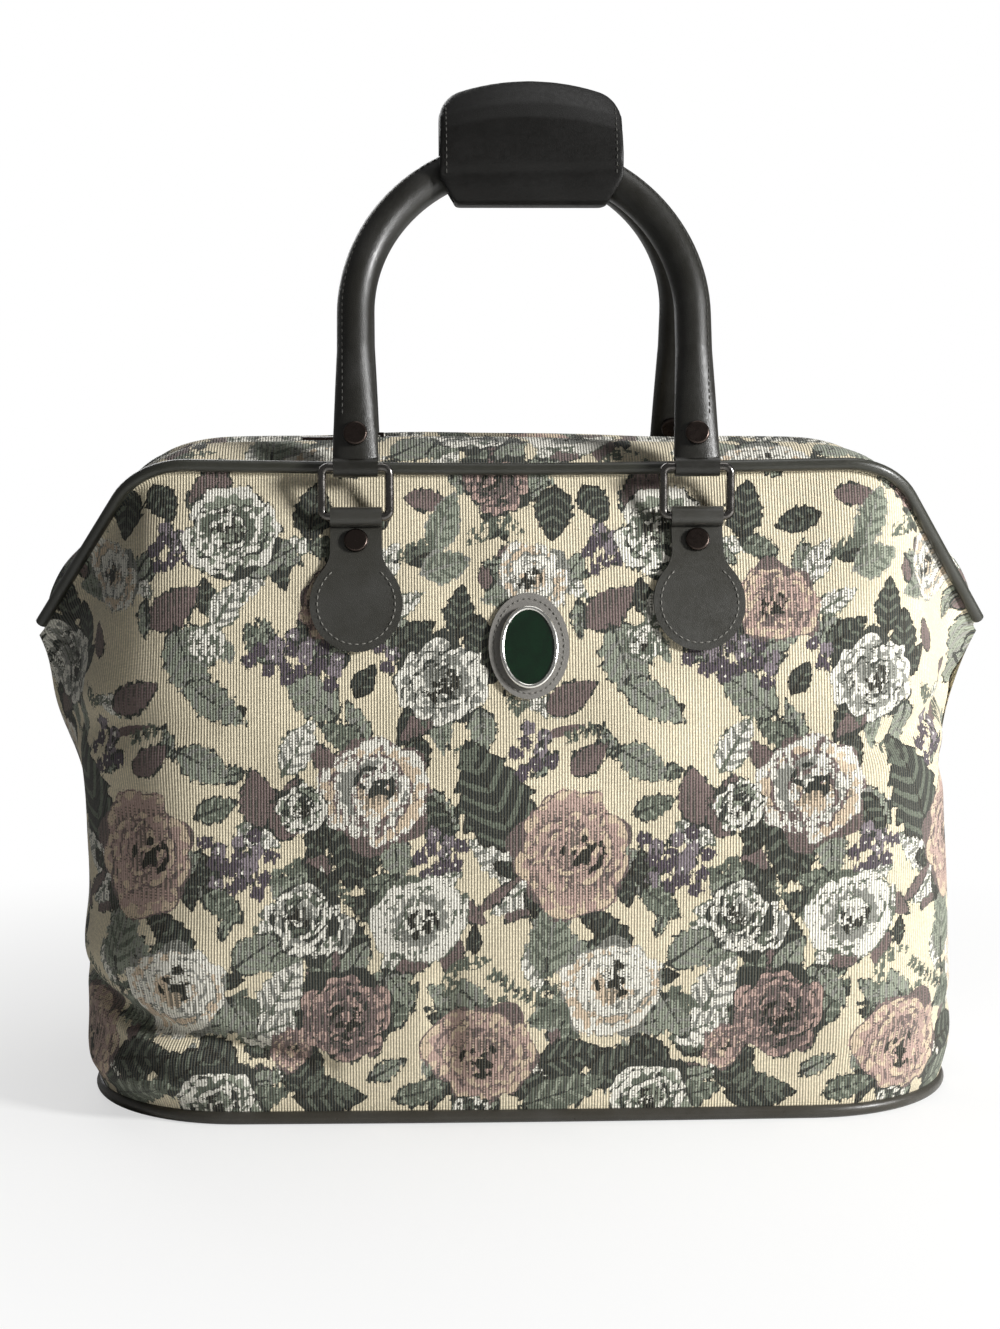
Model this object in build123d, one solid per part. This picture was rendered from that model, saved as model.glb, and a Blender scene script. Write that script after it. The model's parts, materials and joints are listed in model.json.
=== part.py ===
from build123d import *
import math
import os

# Carpet bag with a hinged top frame, in millimetres.
# +Z is up, the origin is the middle of the base, -Y is the front with the badge, +X is its right.

# Fit between pieces
clearance = 0.3
seat_gap = 0.25
overrun = 50.0

# Body
hinge_half_width = 234.0
hinge_height = 224.0
frame_top_height = 305.5
frame_half_depth = 50.0
frame_shoulder_half_width = 178.0
frame_corner_radius = 34.0
frame_sag = 4.0
belly_half_depth = 105.0
base_half_length = 211.0
base_half_depth = 96.0
base_corner_radius = 74.0
wall = 2.6
section_points = 33

# Sections of the body from the base up to the frame
seam_rise_shares = (0, 0.12, 0.27, 0.45, 0.63, 0.8, 0.93, 1)
centre_rise_shares = (0, 0.11, 0.26, 0.44, 0.61, 0.76, 0.89, 1)
centre_depth_shares = (0, 0.19, 0.38, 0.54, 0.61, 0.52, 0.29, 0)
half_width_shares = (0, 0.2, 0.24, 0.19, 0.16, 0.3, 0.66, 1)
shoulder_shares = (0, 0.04, 0.1, 0.18, 0.3, 0.48, 0.76, 1)
shoulder_depth_shares = (0.965, 0.95, 0.93, 0.92, 0.92, 0.94, 0.98)
corner_radius_shares = (0, 0, 0.05, 0.1, 0.2, 0.45, 0.8, 1)
bow_share = 0.45

# Folds of the slack cloth: section, place along it, half width along it, and how far it moves out
fold_rows = (
    (1, 0.16, 0.07, 3.0),
    (2, 0.13, 0.06, -5.0),
    (2, 0.86, 0.06, -2.5),
    (3, 0.2, 0.08, 2.5),
    (3, 0.83, 0.08, 2.5),
    (4, 0.17, 0.06, -3.5),
    (5, 0.84, 0.06, -5.0),
    (6, 0.8, 0.06, 2.0),
)

# Base
base_panel_thickness = 2.5
base_board_thickness = 3.0
base_piping_diameter = 6.6

# Ridge, top strips and zip
ridge_height = 316.0
ridge_half_gap = 6.0
ridge_side_inset = 8.0
ridge_side_half_width = hinge_half_width - ridge_side_inset
ridge_side_rise = 33.0
ridge_side_height = hinge_height + ridge_side_rise
ridge_side_radius = 40.0
ridge_corner_inset = 18.0
ridge_corner_half_width = frame_shoulder_half_width - ridge_corner_inset
ridge_corner_radius = 55.0
strip_thickness = 2.0
strip_puff = 5.0
strip_end_radius = 12.0
zip_slit = 1.4
zip_end_height = 276.0
tape_thickness = 1.0
tape_drop = 0.4
chain_width = 2.2
chain_height = 2.4
chain_gap = 0.05
chain_round = 0.7

# Zip sliders and pulls
slider_length = 14.0
slider_width = 9.0
slider_plate = 1.6
slider_web = 0.8
slider_web_length = 8.0
slider_corner = 2.0
slider_meeting_x = -75.0
bail_length = 8.0
bail_height = 4.4
bail_bar = 1.3
bail_width = 2.0
pull_length = 22.0
pull_width = 7.0
pull_thickness = 1.5
pull_corner = 2.5
pull_hole_diameter = 3.0

# Piping and frame rods
piping_diameter = 6.0
piping_end_radius = 8.0
piping_stand = 0.8
rod_diameter = 4.0
rod_setback = 8.5
rod_end_radius = 9.0
lug_width = 7.0
lug_thickness = 2.0
lug_gap = 0.4
rivet_play = 0.1
rivet_pin_diameter = 3.0
hinge_head_diameter = 6.0
hinge_head_thickness = 1.2

# Rings, tabs and their rivets
side_shift = 4.0
fitting_half_spacing = 81.0
ring_wire = 4.2
ring_width = 32.0
ring_height = 23.4
ring_corner_radius = 3.2
ring_bar_height = 288.0
ring_piping_gap = 4.2
leather = 2.3
tab_width = 24.4
tab_lobe_radius = 21.8
tab_length = 66.0
tab_thickness = 2.6
tab_rivet_drop = 17.0
tab_flare_radius = 14.0
rivet_head_diameter = 11.5
rivet_head_thickness = 2.0
rivet_shank_diameter = 4.0
rivet_dome_share = 0.6
loop_bore = ring_wire / 2 + clearance
loop_radius = loop_bore + leather

# Handles
handle_tube_diameter = 17.6
handle_leg_length = 76.0
handle_round_start = 58.0
handle_flat_start = 3.0
handle_end_width = 22.0
handle_end_thickness = 8.4
handle_middle_width = 20.0
handle_middle_thickness = 13.0
handle_loop_width = 21.0
handle_rivet_rise = 15.0

# Handle wrap
wrap_half_width = 44.5
wrap_shift = 4.0
wrap_bottom_half_width = 36.0
wrap_drop = 0.7
wrap_rise = 27.6
wrap_side_rise = 14.0
wrap_dome_rise = 9.0
wrap_corner_radius = 15.0
wrap_thickness = 2.6
wrap_edge_radius = 9.0
wrap_slope_rise = 16.6
wrap_flap_thickness = 5.2

# Badge
badge_height = 229.0
patch_width = 38.0
patch_height = 48.0
patch_thickness = 1.8
rim_width = 27.0
rim_height = 37.0
rim_band = 1.5
rim_thickness = 2.4
enamel_thickness = 1.8


def between(low, high, share):
    return low + (high - low) * share


def fan_plane(seam_height, depth, height):
    """Plane through both side seams at one height and through a point in front of them."""
    rise = height - seam_height
    reach = math.hypot(depth, rise)
    return Plane(origin=(0, 0, seam_height), x_dir=(1, 0, 0), z_dir=(0, -rise / reach, -depth / reach))


def shifted_line(start, end, distance):
    """Move a line sideways to its left."""
    direction = (end - start).normalized()
    aside = Vector(-direction.Y, direction.X) * distance
    return start + aside, end + aside


def line_crossing(first, second):
    """Point where two lines in one plane cross."""
    start, end = first
    other_start, other_end = second
    run = end - start
    other_run = other_end - other_start
    determinant = run.X * other_run.Y - run.Y * other_run.X
    apart = other_start - start
    share = (apart.X * other_run.Y - apart.Y * other_run.X) / determinant
    return start + run * share


def offset_corners(corners, distance, floor):
    """Offset an open row of corners outward, with both ends kept at one height."""
    lines = []
    for start, end in zip(corners, corners[1:]):
        lines.append(shifted_line(start, end, distance))
    ground = (Vector(-overrun, floor), Vector(overrun, floor))
    moved = [line_crossing(lines[0], ground)]
    for first, second in zip(lines, lines[1:]):
        moved.append(line_crossing(first, second))
    moved.append(line_crossing(lines[-1], ground))
    return moved


def turn_radius(before, corner, after, share):
    """Radius of an arc that uses a share of the shorter run at a corner."""
    first = corner - before
    second = after - corner
    half_turn = math.radians(first.get_angle(second)) / 2
    return share * min(first.length, second.length) / math.tan(half_turn)


def rounded_row(corners, distance, floor, radius):
    """Rounded open outline: sharp corners get a radius and a flat middle corner gets a bow."""
    moved = offset_corners(corners, distance, floor)
    middle = len(moved) // 2
    bow = turn_radius(moved[middle - 1], moved[middle], moved[middle + 1], bow_share)
    radii = [radius + distance] * (middle - 1) + [bow] + [radius + distance] * (middle - 1)
    return FilletPolyline(*moved, radius=radii)


def even_points(outline):
    """Points at even spacing along an outline."""
    steps = section_points - 1
    return [outline.position_at(index / steps) for index in range(section_points)]


def folded_points(outline, index):
    """Points of one body section with the folds of the cloth, moved square to the outline."""
    steps = section_points - 1
    moved = []
    for step, point in enumerate(even_points(outline)):
        share = step / steps
        depth = 0
        for section, place, half_width, rise in fold_rows:
            if section == index:
                depth += rise * math.exp(-(((share - place) / half_width) ** 2))
        run = outline.tangent_at(share)
        moved.append(point + Vector(-run.Y, run.X) * depth * math.sin(math.pi * share))
    return moved


def through_points(points):
    """Smooth curve through points at even steps."""
    steps = len(points) - 1
    return Edge.make_spline(points, parameters=[index / steps for index in range(len(points))])


def band(plane, outer, inner):
    """Closed thin band between two rows of points that lie in one plane."""
    outer_points = [plane.from_local_coords(point) for point in outer]
    inner_points = [plane.from_local_coords(point) for point in inner]
    first_end = Edge.make_line(inner_points[0], outer_points[0])
    last_end = Edge.make_line(outer_points[-1], inner_points[-1])
    inner_points.reverse()
    return Wire([through_points(outer_points), last_end, through_points(inner_points), first_end])


# Places that several pieces share
base_seam_height = base_piping_diameter + seat_gap
frame_plane = fan_plane(hinge_height, frame_half_depth, frame_top_height)
frame_reach = math.hypot(frame_half_depth, frame_top_height - hinge_height)
ridge_plane = fan_plane(hinge_height, ridge_half_gap, ridge_height)
ridge_reach = math.hypot(ridge_half_gap, ridge_height - hinge_height)
fitting_xs = {"left": side_shift - fitting_half_spacing, "right": side_shift + fitting_half_spacing}


def body_section(index):
    """Plane and corners of one body section, from the left side seam round the front to the right."""
    seam = between(base_seam_height, hinge_height, seam_rise_shares[index])
    depth_start = between(base_half_depth, frame_half_depth, seam_rise_shares[index])
    depth = depth_start + (belly_half_depth - frame_half_depth) * centre_depth_shares[index]
    height = between(base_seam_height, frame_top_height, centre_rise_shares[index])
    reach = math.hypot(depth, height - seam)
    half_width = between(base_half_length, hinge_half_width, half_width_shares[index])
    shoulder = between(base_half_length, frame_shoulder_half_width, shoulder_shares[index])
    shift = between(side_shift, 0, seam_rise_shares[index])
    radius = between(base_corner_radius, frame_corner_radius, corner_radius_shares[index])
    if index < len(shoulder_depth_shares):
        shoulder_reach = reach * shoulder_depth_shares[index]
    else:
        shoulder_reach = reach + frame_sag
    corners = [
        Vector(shift - half_width, 0),
        Vector(shift - shoulder, shoulder_reach),
        Vector(shift, reach),
        Vector(shift + shoulder, shoulder_reach),
        Vector(shift + half_width, 0),
    ]
    return fan_plane(seam, depth, height), corners, radius


def front_half(distance):
    """Solid front half of the body, grown outward by a distance."""
    sections = []
    for index in range(len(seam_rise_shares)):
        plane, corners, radius = body_section(index)
        outline = rounded_row(corners, distance, 0, radius)
        points = [plane.from_local_coords(point) for point in folded_points(outline, index)]
        sections.append(Wire([through_points(points), Edge.make_line(points[-1], points[0])]))
    return Solid.make_loft(sections)


def make_front_panel():
    """Tapestry wall from the base seam to the frame, open at the rear."""
    sections = []
    for index in range(len(seam_rise_shares)):
        plane, corners, radius = body_section(index)
        outer = folded_points(rounded_row(corners, 0, 0, radius), index)
        inner = folded_points(rounded_row(corners, -wall, 0, radius), index)
        sections.append(band(plane, outer, inner))
    return Solid.make_loft(sections)


def ridge_row(distance, floor):
    """Rounded outline of the ridge, where the zip runs, in the ridge plane."""
    stretch = ridge_reach / (ridge_height - hinge_height)
    side_rise = (ridge_side_height - hinge_height) * stretch
    corners = [
        Vector(-hinge_half_width, 0),
        Vector(-ridge_side_half_width, side_rise),
        Vector(-ridge_corner_half_width, ridge_reach),
        Vector(ridge_corner_half_width, ridge_reach),
        Vector(ridge_side_half_width, side_rise),
        Vector(hinge_half_width, 0),
    ]
    moved = offset_corners(corners, distance, floor)
    radii = [ridge_side_radius, ridge_corner_radius, ridge_corner_radius, ridge_side_radius]
    return FilletPolyline(*moved, radius=[radius + distance for radius in radii])


def zip_row(distance):
    """The part of the ridge outline that the zip covers: the top and a stretch of each slope."""
    stretch = ridge_reach / (ridge_height - hinge_height)
    side_rise = (ridge_side_height - hinge_height) * stretch
    corners = [
        Vector(-ridge_side_half_width, side_rise),
        Vector(-ridge_corner_half_width, ridge_reach),
        Vector(ridge_corner_half_width, ridge_reach),
        Vector(ridge_side_half_width, side_rise),
    ]
    moved = offset_corners(corners, distance, (zip_end_height - hinge_height) * stretch)
    return FilletPolyline(*moved, radius=ridge_corner_radius + distance)


def puffed(points, distance):
    """Move a row of points outward, square to the row, most at the top and not at all at its ends."""
    top = max(point.Y for point in points)
    moved = [points[0]]
    for before, point, after in zip(points, points[1:], points[2:]):
        run = (after - before).normalized()
        moved.append(point + Vector(-run.Y, run.X) * distance * (point.Y / top) ** 2)
    moved.append(points[-1])
    return moved


def make_front_top_strip():
    """Tapestry strip from the frame to the zip, puffed up between them."""
    _, corners, radius = body_section(len(seam_rise_shares) - 1)
    middle_plane = fan_plane(
        hinge_height,
        (frame_half_depth + ridge_half_gap) / 2,
        (frame_top_height + ridge_height) / 2,
    )
    rows = []
    for distance in (0, -strip_thickness):
        frame_points = even_points(rounded_row(corners, distance, strip_end_radius, radius))
        ridge_points = even_points(ridge_row(distance, strip_end_radius))
        middle = [(first + second) / 2 for first, second in zip(frame_points, ridge_points)]
        rows.append((frame_points, puffed(middle, strip_puff), ridge_points))
    outer, inner = rows
    planes = (frame_plane, middle_plane, ridge_plane)
    return Solid.make_loft([band(*section) for section in zip(planes, outer, inner)])


def make_front_piping():
    """Piping along the front frame edge, standing on the seam."""
    _, corners, radius = body_section(len(seam_rise_shares) - 1)
    outward = piping_diameter / 2 + piping_stand
    path = frame_plane * rounded_row(corners, outward, piping_end_radius, radius)
    return sweep(Plane(origin=path @ 0, z_dir=path % 0) * Circle(piping_diameter / 2), path)


def make_frame_rod(lug_side):
    """Frame wire inside the front edge, with a flat lug at each end for the hinge rivet."""
    _, corners, radius = body_section(len(seam_rise_shares) - 1)
    row = rounded_row(corners, -rod_setback, rod_end_radius, radius)
    path = frame_plane * row
    rod = sweep(Plane(origin=path @ 0, z_dir=path % 0) * Circle(rod_diameter / 2), path)
    for end in (path @ 0, path @ 1):
        outward = math.copysign(1, end.X) * lug_side
        lug_start = end.X + outward * lug_gap / 2
        lug_plane = Plane(
            origin=(lug_start, 0, hinge_height),
            x_dir=frame_plane.y_dir,
            z_dir=(outward, 0, 0),
        )
        slot = Pos(rod_end_radius / 2, 0) * SlotCenterToCenter(rod_end_radius, lug_width)
        lug = extrude(lug_plane * (slot - Circle(rivet_pin_diameter / 2 + rivet_play)), lug_thickness)
        rod += lug
    return rod


def make_hinge_rivets():
    """One rivet through both lugs at each side point."""
    _, corners, radius = body_section(len(seam_rise_shares) - 1)
    row = rounded_row(corners, -rod_setback, rod_end_radius, radius)
    reach = lug_thickness + lug_gap / 2 + rivet_play
    rivets = []
    for end in (row @ 0, row @ 1):
        across = Plane(origin=(end.X, 0, hinge_height), x_dir=(0, 1, 0), z_dir=(1, 0, 0))
        pin = extrude(across * Circle(rivet_pin_diameter / 2), reach, both=True)
        for side in (reach, -reach):
            head = Plane(origin=(end.X + side, 0, hinge_height), x_dir=(0, 1, 0), z_dir=(side, 0, 0))
            pin += extrude(head * Circle(hinge_head_diameter / 2), hinge_head_thickness)
        rivets.append(pin.solid())
    return Compound(rivets)


def base_outline(inset):
    """Closed outline of the base, moved inward by an inset."""
    _, corners, radius = body_section(0)
    rear = rounded_row(corners, -inset, 0, radius)
    front = mirror(rear, about=Plane.XZ)
    return Wire(list(rear.edges()) + list(front.edges()))


def make_base_piping():
    """Thick piping round the base, which the bag stands on."""
    path = Pos(0, 0, base_piping_diameter / 2) * base_outline(wall / 2)
    return sweep(Plane(origin=path @ 0, z_dir=path % 0) * Circle(base_piping_diameter / 2), path)


def make_base_plate(floor, thickness):
    """Flat plate inside the base piping."""
    inset = wall / 2 + base_piping_diameter / 2 + seat_gap
    return extrude(Pos(0, 0, floor) * Face(base_outline(inset)), thickness, dir=(0, 0, 1))


def make_zip_tape():
    """Front tape of the zip, from the strip's edge to the slit."""
    slit_plane = fan_plane(hinge_height, zip_slit / 2, ridge_height)
    sections = []
    for plane in (ridge_plane, slit_plane):
        top = plane * zip_row(-tape_drop)
        bottom = plane * zip_row(-tape_drop - tape_thickness)
        first_end = Edge.make_line(bottom @ 0, top @ 0)
        last_end = Edge.make_line(top @ 1, bottom @ 1)
        sections.append(Wire(list(top.edges()) + [last_end] + list(bottom.edges()) + [first_end]))
    return Solid.make_loft(sections, ruled=True)


def make_zip_chain():
    """Front row of the closed zip, a bar beside the slit with a rounded top."""
    chain_plane = Plane(
        origin=(0, -zip_slit / 2 - chain_width / 2, hinge_height),
        x_dir=(1, 0, 0),
        z_dir=(0, -1, 0),
    )
    path = chain_plane * zip_row(chain_height / 2 - tape_drop + chain_gap)
    section = Plane(origin=path @ 0, x_dir=(0, 1, 0), z_dir=path % 0)
    return sweep(section * RectangleRounded(chain_width, chain_height, chain_round), path)


def make_slider(centre_x):
    """Zip slider: plates above and below the chain, joined through the slit, with a bail on top."""
    upper = ridge_height - tape_drop + chain_gap + chain_height + clearance
    lower = ridge_height - tape_drop - tape_thickness - clearance
    plate_sketch = RectangleRounded(slider_length, slider_width, slider_corner)
    slider = extrude(Pos(centre_x, 0, upper) * plate_sketch, slider_plate)
    slider += extrude(Pos(centre_x, 0, lower) * plate_sketch, -slider_plate)
    web = Rectangle(slider_web_length, slider_web)
    slider += extrude(Pos(centre_x, 0, lower) * web, upper - lower)
    bail_plane = Plane(origin=(centre_x, 0, upper + slider_plate), x_dir=(1, 0, 0), z_dir=(0, -1, 0))
    bail = Pos(0, bail_height / 2) * Rectangle(bail_length, bail_height)
    window = Pos(0, (bail_height - bail_bar) / 2)
    bail -= window * Rectangle(bail_length - 2 * bail_bar, bail_height - bail_bar)
    slider += extrude(bail_plane * bail, bail_width / 2, both=True)
    return slider


def pull_axis_height():
    """Height of the bar of a pull, inside the bail."""
    upper = ridge_height - tape_drop + chain_gap + chain_height + clearance
    return upper + slider_plate + (bail_height - bail_bar) / 2


def make_pull(centre_x, direction):
    """Pull tab lying along the zip, with a slot for the bail and a round bar in it."""
    height = pull_axis_height()
    bar_radius = pull_thickness / 2
    bar_plane = Plane(origin=(centre_x, 0, height), x_dir=(1, 0, 0), z_dir=(0, 1, 0))
    pull = extrude(bar_plane * Circle(bar_radius), pull_width / 2, both=True)
    plate = Pos(direction * pull_length / 2, 0) * Rectangle(pull_length, pull_width)
    far_end = plate.vertices().sort_by(Axis.X)
    far_end = far_end[-2:] if direction > 0 else far_end[:2]
    plate = fillet(far_end, pull_corner)
    slot_start = bar_radius
    slot_end = math.hypot(bail_length / 2, (bail_height + bail_bar) / 2) + clearance
    slot_x = direction * (slot_start + slot_end) / 2
    slot = Pos(slot_x, 0) * Rectangle(slot_end - slot_start, bail_width + 2 * clearance)
    hole_x = direction * (pull_length - pull_width / 2)
    plate -= slot
    plate -= Pos(hole_x, 0) * Circle(pull_hole_diameter / 2)
    tab = extrude(Pos(centre_x, 0, height) * plate, pull_thickness / 2, both=True)
    return pull + tab


def panel_hit(face, x, height):
    """Point of the front wall at a place, and the direction that it faces."""
    ray = Axis((x, -belly_half_depth - overrun, height), (0, 1, 0))
    point, facing = face.find_intersection_points(ray)[0]
    if facing.Y > 0:
        facing = -facing
    return point, facing


def front_prism(sketch, x):
    """Sketch in a front view, run through the front half of the body."""
    view = Plane(origin=(x, 0, 0), x_dir=(1, 0, 0), z_dir=(0, -1, 0))
    return extrude(view * sketch, belly_half_depth + overrun)


def leather_shape(sketch, x, low, high):
    """Piece that follows the front wall between two distances from it, cut to a sketch."""
    return (front_prism(sketch, x) & front_half(high)) - front_half(low)


def tab_sketch():
    """Spoon outline of a tab: a straight neck that flares into a round lobe."""
    top = ring_bar_height
    lobe_height = ring_bar_height + loop_radius - tab_length + tab_lobe_radius
    neck = Pos(0, (top + lobe_height) / 2) * Rectangle(tab_width, top - lobe_height)
    outline = neck + Pos(0, lobe_height) * Circle(tab_lobe_radius)
    junctions = outline.vertices().filter_by(lambda vertex: lobe_height < vertex.Y < top - tab_width / 2)
    return fillet(junctions, tab_flare_radius)


def make_tab(x, bar_y, rivet_plane):
    """Leather tab on the front wall with a loop for the ring at its top."""
    tab = leather_shape(tab_sketch(), x, seat_gap, seat_gap + tab_thickness)
    loop_plane = Plane(origin=(x, bar_y, ring_bar_height), x_dir=(0, 1, 0), z_dir=(1, 0, 0))
    tab += extrude(loop_plane * Circle(loop_radius), tab_width / 2, both=True)
    tab -= extrude(loop_plane * Circle(loop_bore), tab_width, both=True)
    hole = rivet_plane * Circle(rivet_shank_diameter / 2 + rivet_play)
    return tab - extrude(hole, tab_thickness + overrun / 2, both=True)


def make_rivet(plane, shank):
    """Domed rivet head on a plane, with its shank behind it."""
    head = extrude(plane * Circle(rivet_head_diameter / 2), rivet_head_thickness)
    rim = head.edges().filter_by(GeomType.CIRCLE).sort_by(lambda edge: (edge.center() - plane.origin).length)
    head = fillet(rim[-1], rivet_head_thickness * rivet_dome_share)
    return head + extrude(plane * Circle(rivet_shank_diameter / 2), -shank)


def make_ring(x, ring_plane):
    """Rounded ring of wire, with its lower bar in the tab and its upper bar in the handle."""
    outline = Pos(x, ring_height / 2) * RectangleRounded(ring_width, ring_height, ring_corner_radius)
    path = (ring_plane * outline).wire()
    return sweep(Plane(origin=path @ 0, z_dir=path % 0) * Circle(ring_wire / 2), path)


def make_handle(handle_plane):
    """Rolled leather handle: round arch, legs that flatten downward, and a loop at each end."""
    path_start = Vector(-fitting_half_spacing, handle_round_start)
    leg = Line(path_start, Vector(-fitting_half_spacing, handle_leg_length))
    arch = RadiusArc(leg @ 1, Vector(fitting_half_spacing, handle_leg_length), fitting_half_spacing)
    other_leg = Line(arch @ 1, Vector(fitting_half_spacing, handle_round_start))
    path = handle_plane * Wire([leg, arch, other_leg])
    round_section = Circle(handle_tube_diameter / 2)
    handle = sweep(Plane(origin=path @ 0, z_dir=path % 0) * round_section, path)
    sizes = (
        (handle_flat_start, handle_end_width, handle_end_thickness),
        ((handle_flat_start + handle_round_start) / 2, handle_middle_width, handle_middle_thickness),
        (handle_round_start, handle_tube_diameter, handle_tube_diameter),
    )
    for x in (-fitting_half_spacing, fitting_half_spacing):
        sections = []
        for rise, width, thickness in sizes:
            centre = handle_plane.from_local_coords(Vector(x, rise))
            across = Plane(origin=centre, x_dir=(1, 0, 0), z_dir=handle_plane.y_dir)
            sections.append((across * Ellipse(width / 2, thickness / 2)).wire())
        handle += Solid.make_loft(sections)
        loop_centre = handle_plane.from_local_coords(Vector(x, 0))
        loop_plane = Plane(origin=loop_centre, x_dir=(0, 1, 0), z_dir=(1, 0, 0))
        handle += extrude(loop_plane * Circle(loop_radius), handle_loop_width / 2, both=True)
        handle -= extrude(loop_plane * Circle(loop_bore), handle_loop_width, both=True)
        hole_centre = handle_plane.from_local_coords(Vector(x, handle_rivet_rise))
        hole_plane = Plane(origin=hole_centre, x_dir=(1, 0, 0), z_dir=handle_plane.z_dir)
        hole = hole_plane * Circle(rivet_shank_diameter / 2 + rivet_play)
        handle -= extrude(hole, handle_tube_diameter, both=True)
    return handle


def make_handle_rivets(handle_plane):
    """Rivets through the lower ends of a handle, with a head on each side."""
    head_top = handle_rivet_rise + rivet_head_diameter / 2
    share = (head_top - handle_flat_start) / (handle_round_start - handle_flat_start)
    half = between(handle_end_thickness, handle_tube_diameter, share) / 2 + rivet_play
    rivets = []
    for x in (-fitting_half_spacing, fitting_half_spacing):
        solid = None
        for side in (1, -1):
            head_centre = handle_plane.from_local_coords(Vector(x, handle_rivet_rise, side * half))
            head_plane = Plane(origin=head_centre, x_dir=(1, 0, 0), z_dir=handle_plane.z_dir * side)
            rivet = make_rivet(head_plane, half)
            solid = rivet if solid is None else solid + rivet
        rivets.append(solid.solid())
    return Compound(rivets)


def wrap_profile(front_y, apex_height, wrap_bottom, wrap_top):
    """Side view of the wrap: a sleeve round the front tube that closes into a standing flap."""
    rear_y = wrap_thickness / 2
    slope_bottom = apex_height + handle_tube_diameter / 4
    slope_top = apex_height + handle_tube_diameter / 2 + wrap_slope_rise
    slope = (Vector(front_y, slope_bottom), Vector(rear_y - wrap_flap_thickness, slope_top))
    skin = make_face(
        Polyline(
            (front_y, wrap_bottom),
            slope[0],
            slope[1],
            (rear_y - wrap_flap_thickness, wrap_top),
            (rear_y, wrap_top),
            (rear_y, wrap_bottom),
            close=True,
        )
    )
    skin = fillet(skin.vertices().group_by(Axis.X)[0], wrap_edge_radius)
    floor = wrap_bottom + wrap_thickness
    room_front = front_y + wrap_thickness
    ceiling = shifted_line(*slope, -wrap_thickness)
    front_line = (Vector(room_front, floor), Vector(room_front, wrap_top))
    rear_line = (Vector(-rear_y, floor), Vector(-rear_y, wrap_top))
    room = make_face(
        Polyline(
            front_line[0],
            line_crossing(ceiling, front_line),
            line_crossing(ceiling, rear_line),
            rear_line[0],
            close=True,
        )
    )
    room = fillet(room.vertices().group_by(Axis.X)[0], wrap_edge_radius - wrap_thickness)
    return skin - room


def make_handle_wrap(handle_plane):
    """Leather wrap round the front handle, with a domed flap above it, open at both ends."""
    apex = handle_plane.from_local_coords(Vector(0, handle_leg_length + fitting_half_spacing))
    wrap_top = apex.Z + handle_tube_diameter / 2 + wrap_rise

    # The wrap's front and lower edge clear the tube where it leaves the wrap's ends
    end_rise = handle_leg_length + math.sqrt(fitting_half_spacing**2 - (wrap_half_width + wrap_shift) ** 2)
    end = handle_plane.from_local_coords(Vector(0, end_rise))
    front_y = end.Y - handle_tube_diameter / 2 - clearance - wrap_thickness
    wrap_bottom = end.Z - handle_tube_diameter / 2 - wrap_drop
    wrap_side_bottom = wrap_bottom + wrap_side_rise
    shoulder = wrap_top - wrap_dome_rise
    outline = Polyline(
        (-wrap_half_width, shoulder),
        (-wrap_half_width, wrap_side_bottom),
        (-wrap_bottom_half_width, wrap_bottom),
        (wrap_bottom_half_width, wrap_bottom),
        (wrap_half_width, wrap_side_bottom),
        (wrap_half_width, shoulder),
    )
    dome = ThreePointArc((wrap_half_width, shoulder), (0, wrap_top), (-wrap_half_width, shoulder))
    frame = make_face(outline + dome)
    rounded = fillet(frame.vertices().group_by(Axis.Y)[-1], wrap_corner_radius)
    middle = side_shift + wrap_shift
    side_view = Plane(origin=(middle, 0, 0), x_dir=(0, 1, 0), z_dir=(1, 0, 0))
    front_view = Plane(origin=(middle, wrap_thickness, 0), x_dir=(1, 0, 0), z_dir=(0, -1, 0))
    profile = wrap_profile(front_y, apex.Z, wrap_bottom, wrap_top)
    sleeve = extrude(side_view * profile, wrap_half_width, both=True)
    return sleeve & extrude(front_view * rounded, 2 * wrap_thickness - front_y)


def oval(width, height):
    """Oval outline at the badge's place in a front view."""
    return Pos(0, badge_height) * Ellipse(width / 2, height / 2)


def make_badge():
    """Stitched patch, metal rim and a bare enamel field, each following the front wall."""
    patch_top = seat_gap + patch_thickness
    floor = patch_top + rivet_play
    patch = leather_shape(oval(patch_width, patch_height), side_shift, seat_gap, patch_top)
    field_width = rim_width - 2 * rim_band
    field_height = rim_height - 2 * rim_band
    rim = oval(rim_width, rim_height) - oval(field_width, field_height)
    rim = leather_shape(rim, side_shift, floor, floor + rim_thickness)
    field = oval(field_width - clearance, field_height - clearance)
    enamel = leather_shape(field, side_shift, floor, floor + enamel_thickness)
    return patch, rim, enamel


def two_circle_point(first, first_reach, second, second_reach):
    """Point at given distances from two points in a side view, on the front side."""
    apart = second - first
    span = apart.length
    along = (first_reach**2 - second_reach**2 + span**2) / (2 * span)
    aside = math.sqrt(first_reach**2 - along**2)
    direction = apart / span
    return first + direction * along + Vector(-direction.Y, direction.X) * aside


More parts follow.
